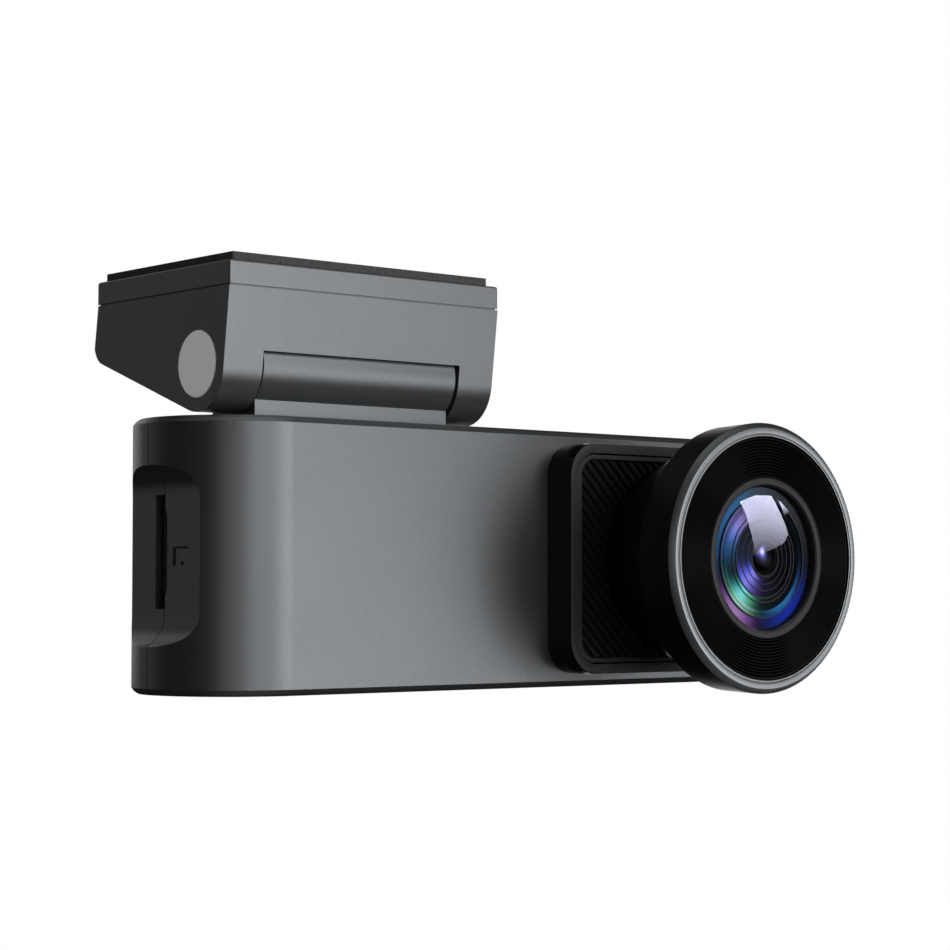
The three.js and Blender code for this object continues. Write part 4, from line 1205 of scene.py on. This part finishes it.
# name: distance, azimuth from -Y towards +X, elevation, width, height, brightness
softboxes = {
    "keyPanel": (0.8, 28, 10, 0.3, 0.8, 1.75),
    "keyRight": (0.8, 48, 12, 0.26, 0.8, 0.85),
    "keyEdge": (0.8, 8, 8, 0.3, 0.8, 0.72),
    "frontLeft": (0.8, -14, 4, 0.3, 0.6, 0.88),
    "farLeft": (0.8, -40, 0, 0.3, 0.5, 0.28),
    "topPanel": (0.8, 20, 76, 0.7, 0.5, 0.4),
    "bottomPanel": (0.8, 20, -80, 0.6, 0.5, 0.08),
    "capLight": (0.5, -90, 15, 0.3, 0.3, 3.4),
    "lipLight": (0.8, 40, -34, 0.6, 0.3, 2.2),
    "leftHigh": (0.8, -100, 60, 0.6, 0.5, 0.1),
    "leftRear": (0.9, -143, 2, 0.45, 0.6, 0.085),
    "rightRear": (0.9, 135, 0, 0.6, 0.7, 2.4),
    "rearPanel": (0.9, 175, 15, 0.6, 0.6, 0.5),
}
# aim is the place all of them face, and watts is a square metre's power at a brightness of one
lightLook = {"aim": (0.015, -0.01, -0.028), "watts": 3.2}


def makeLights():
    aim = Vector(lightLook["aim"])
    # the pin caps and the hood's lip have a light each, so that what is round them stays dark
    alone = {"capLight": ("pinCapLeft", "pinCapRight"), "lipLight": ("lensHood",)}
    # the cover glass reflects only the window cards
    others = bpy.data.collections.new("allButFrontLens")
    others.objects.link(bpy.data.objects["frontLens"])
    others.collection_objects[0].light_linking.link_state = "EXCLUDE"
    for name, (distance, azimuth, elevation, width, height, brightness) in softboxes.items():
        data = bpy.data.lights.new(name, "AREA")
        data.shape = "RECTANGLE"
        data.size, data.size_y = width, height
        data.energy = brightness * width * height * lightLook["watts"]
        lamp = bpy.data.objects.new(name, data)
        bpy.context.scene.collection.objects.link(lamp)
        a, e = math.radians(azimuth), math.radians(elevation)
        out = Vector((math.sin(a) * math.cos(e), -math.cos(a) * math.cos(e), math.sin(e)))
        lamp.location = aim + out * distance
        lamp.rotation_euler = (-out).to_track_quat("-Z", "Y").to_euler()
        lamp.visible_camera = False
        receivers = others
        if name in alone:
            receivers = bpy.data.collections.new(name + "Receivers")
            for receiver in alone[name]:
                receivers.objects.link(bpy.data.objects[receiver])
        lamp.light_linking.receiver_collection = receivers


windowLook = {
    # where each pane's corners show on the front glass, as shares of its radius to the right and up
    "panes": [
        [(-0.49, 0.78), (-0.2, 0.88), (0.136, 0.873), (0.384, 0.334), (0.244, 0.2), (-0.338, 0.03)],
        [(0.265, 0.83), (0.47, 0.674), (0.351, 0.6)],
    ],
    "distance": 0.45, "bright": 24.0, "fadeFrom": 0.03, "fadeTo": 0.9, "colour": "#F6F4FF",
}


def makeWindowCards():
    # bright cards that only the front glass sees, so the case stays evenly lit
    look = windowLook
    low, high = nodeBox("front_lens")
    radius = (high.x - low.x) / 2
    depth = frontLensLook["edgeFront"] - low.y
    eye = Vector(viewLook["place"])
    only = bpy.data.collections.new("frontGlassOnly")
    only.objects.link(bpy.data.objects["frontLens"])
    for number, pane in enumerate(look["panes"]):
        corners = []
        for right, up in pane:
            share = math.hypot(right, up)
            place = Vector((lensX + right * radius, low.y + depth * share ** 2, lensZ + up * radius)) * mm
            slope = 2 * depth / radius
            normal = Vector((slope * right, -1, slope * up)).normalized()
            ray = (place - eye).normalized()
            corners.append(place + (ray - 2 * ray.dot(normal) * normal) * look["distance"])
        bpy.ops.object.select_all(action="DESELECT")
        bpy.ops.mesh.primitive_circle_add(vertices=len(corners), radius=0.1, fill_type="NGON")
        card = placed(f"windowCard{number + 1}")
        for vertex, corner in zip(card.data.vertices, corners):
            vertex.co = corner
        top, bottom = max(c.z for c in corners), min(c.z for c in corners)
        material, tree = newMaterial(f"windowLight{number + 1}")
        where = addNode(tree, "ShaderNodeTexCoord").outputs["Object"]
        parts = addNode(tree, "ShaderNodeSeparateXYZ", {"Vector": where})
        fade = addNode(tree, "ShaderNodeMapRange", {
            "Value": parts.outputs["Z"], "From Min": bottom, "From Max": top,
            "To Min": look["fadeFrom"] * look["bright"], "To Max": look["fadeTo"] * look["bright"],
        })
        glow = addNode(tree, "ShaderNodeEmission", {
            "Color": linear(look["colour"]), "Strength": fade.outputs["Result"],
        })
        addNode(tree, "ShaderNodeOutputMaterial", {"Surface": glow.outputs["Emission"]})
        card.data.materials.append(material)
        card.visible_camera = False
        card.visible_diffuse = False
        card.visible_shadow = False
        card.light_linking.receiver_collection = only


worldLook = {"dim": 0.012, "backdrop": 1.0}


def makeWorld():
    # a white backdrop that hardly lights the object
    world = bpy.data.worlds.new("studio")
    world.use_nodes = True
    tree = world.node_tree
    tree.nodes.clear()
    path = addNode(tree, "ShaderNodeLightPath")
    paper = linear("#FFFFFF")
    dim = addNode(tree, "ShaderNodeBackground", {"Color": paper, "Strength": worldLook["dim"]})
    white = addNode(tree, "ShaderNodeBackground", {"Color": paper, "Strength": worldLook["backdrop"]})
    mix = addNode(tree, "ShaderNodeMixShader", {
        0: path.outputs["Is Camera Ray"], 1: dim.outputs["Background"], 2: white.outputs["Background"],
    })
    addNode(tree, "ShaderNodeOutputWorld", {"Surface": mix.outputs["Shader"]})
    bpy.context.scene.world = world
    bpy.context.scene.view_settings.view_transform = "Standard"


makeCamera()
print("camera placed")
makePad()
makeBasePlate()
makeHousing()
makePinCaps()
makeKnuckle()
print("bracket and knuckle made")
makeShells()
print("shells made")
makeCollar()
makeRibPanel()
makeBarrel()
makeHood()
makeBaffle()
makeRetainer()
print("lens surround made")
makeFrontLens()
makeInnerLenses()
print("optics made")
makeShellScrews()
makePowerButton()
makeSocket()
makeCard()
makeCardMark()
paintInside()
print("fittings made")
makeFloor()
makeLights()
makeWindowCards()
makeWorld()
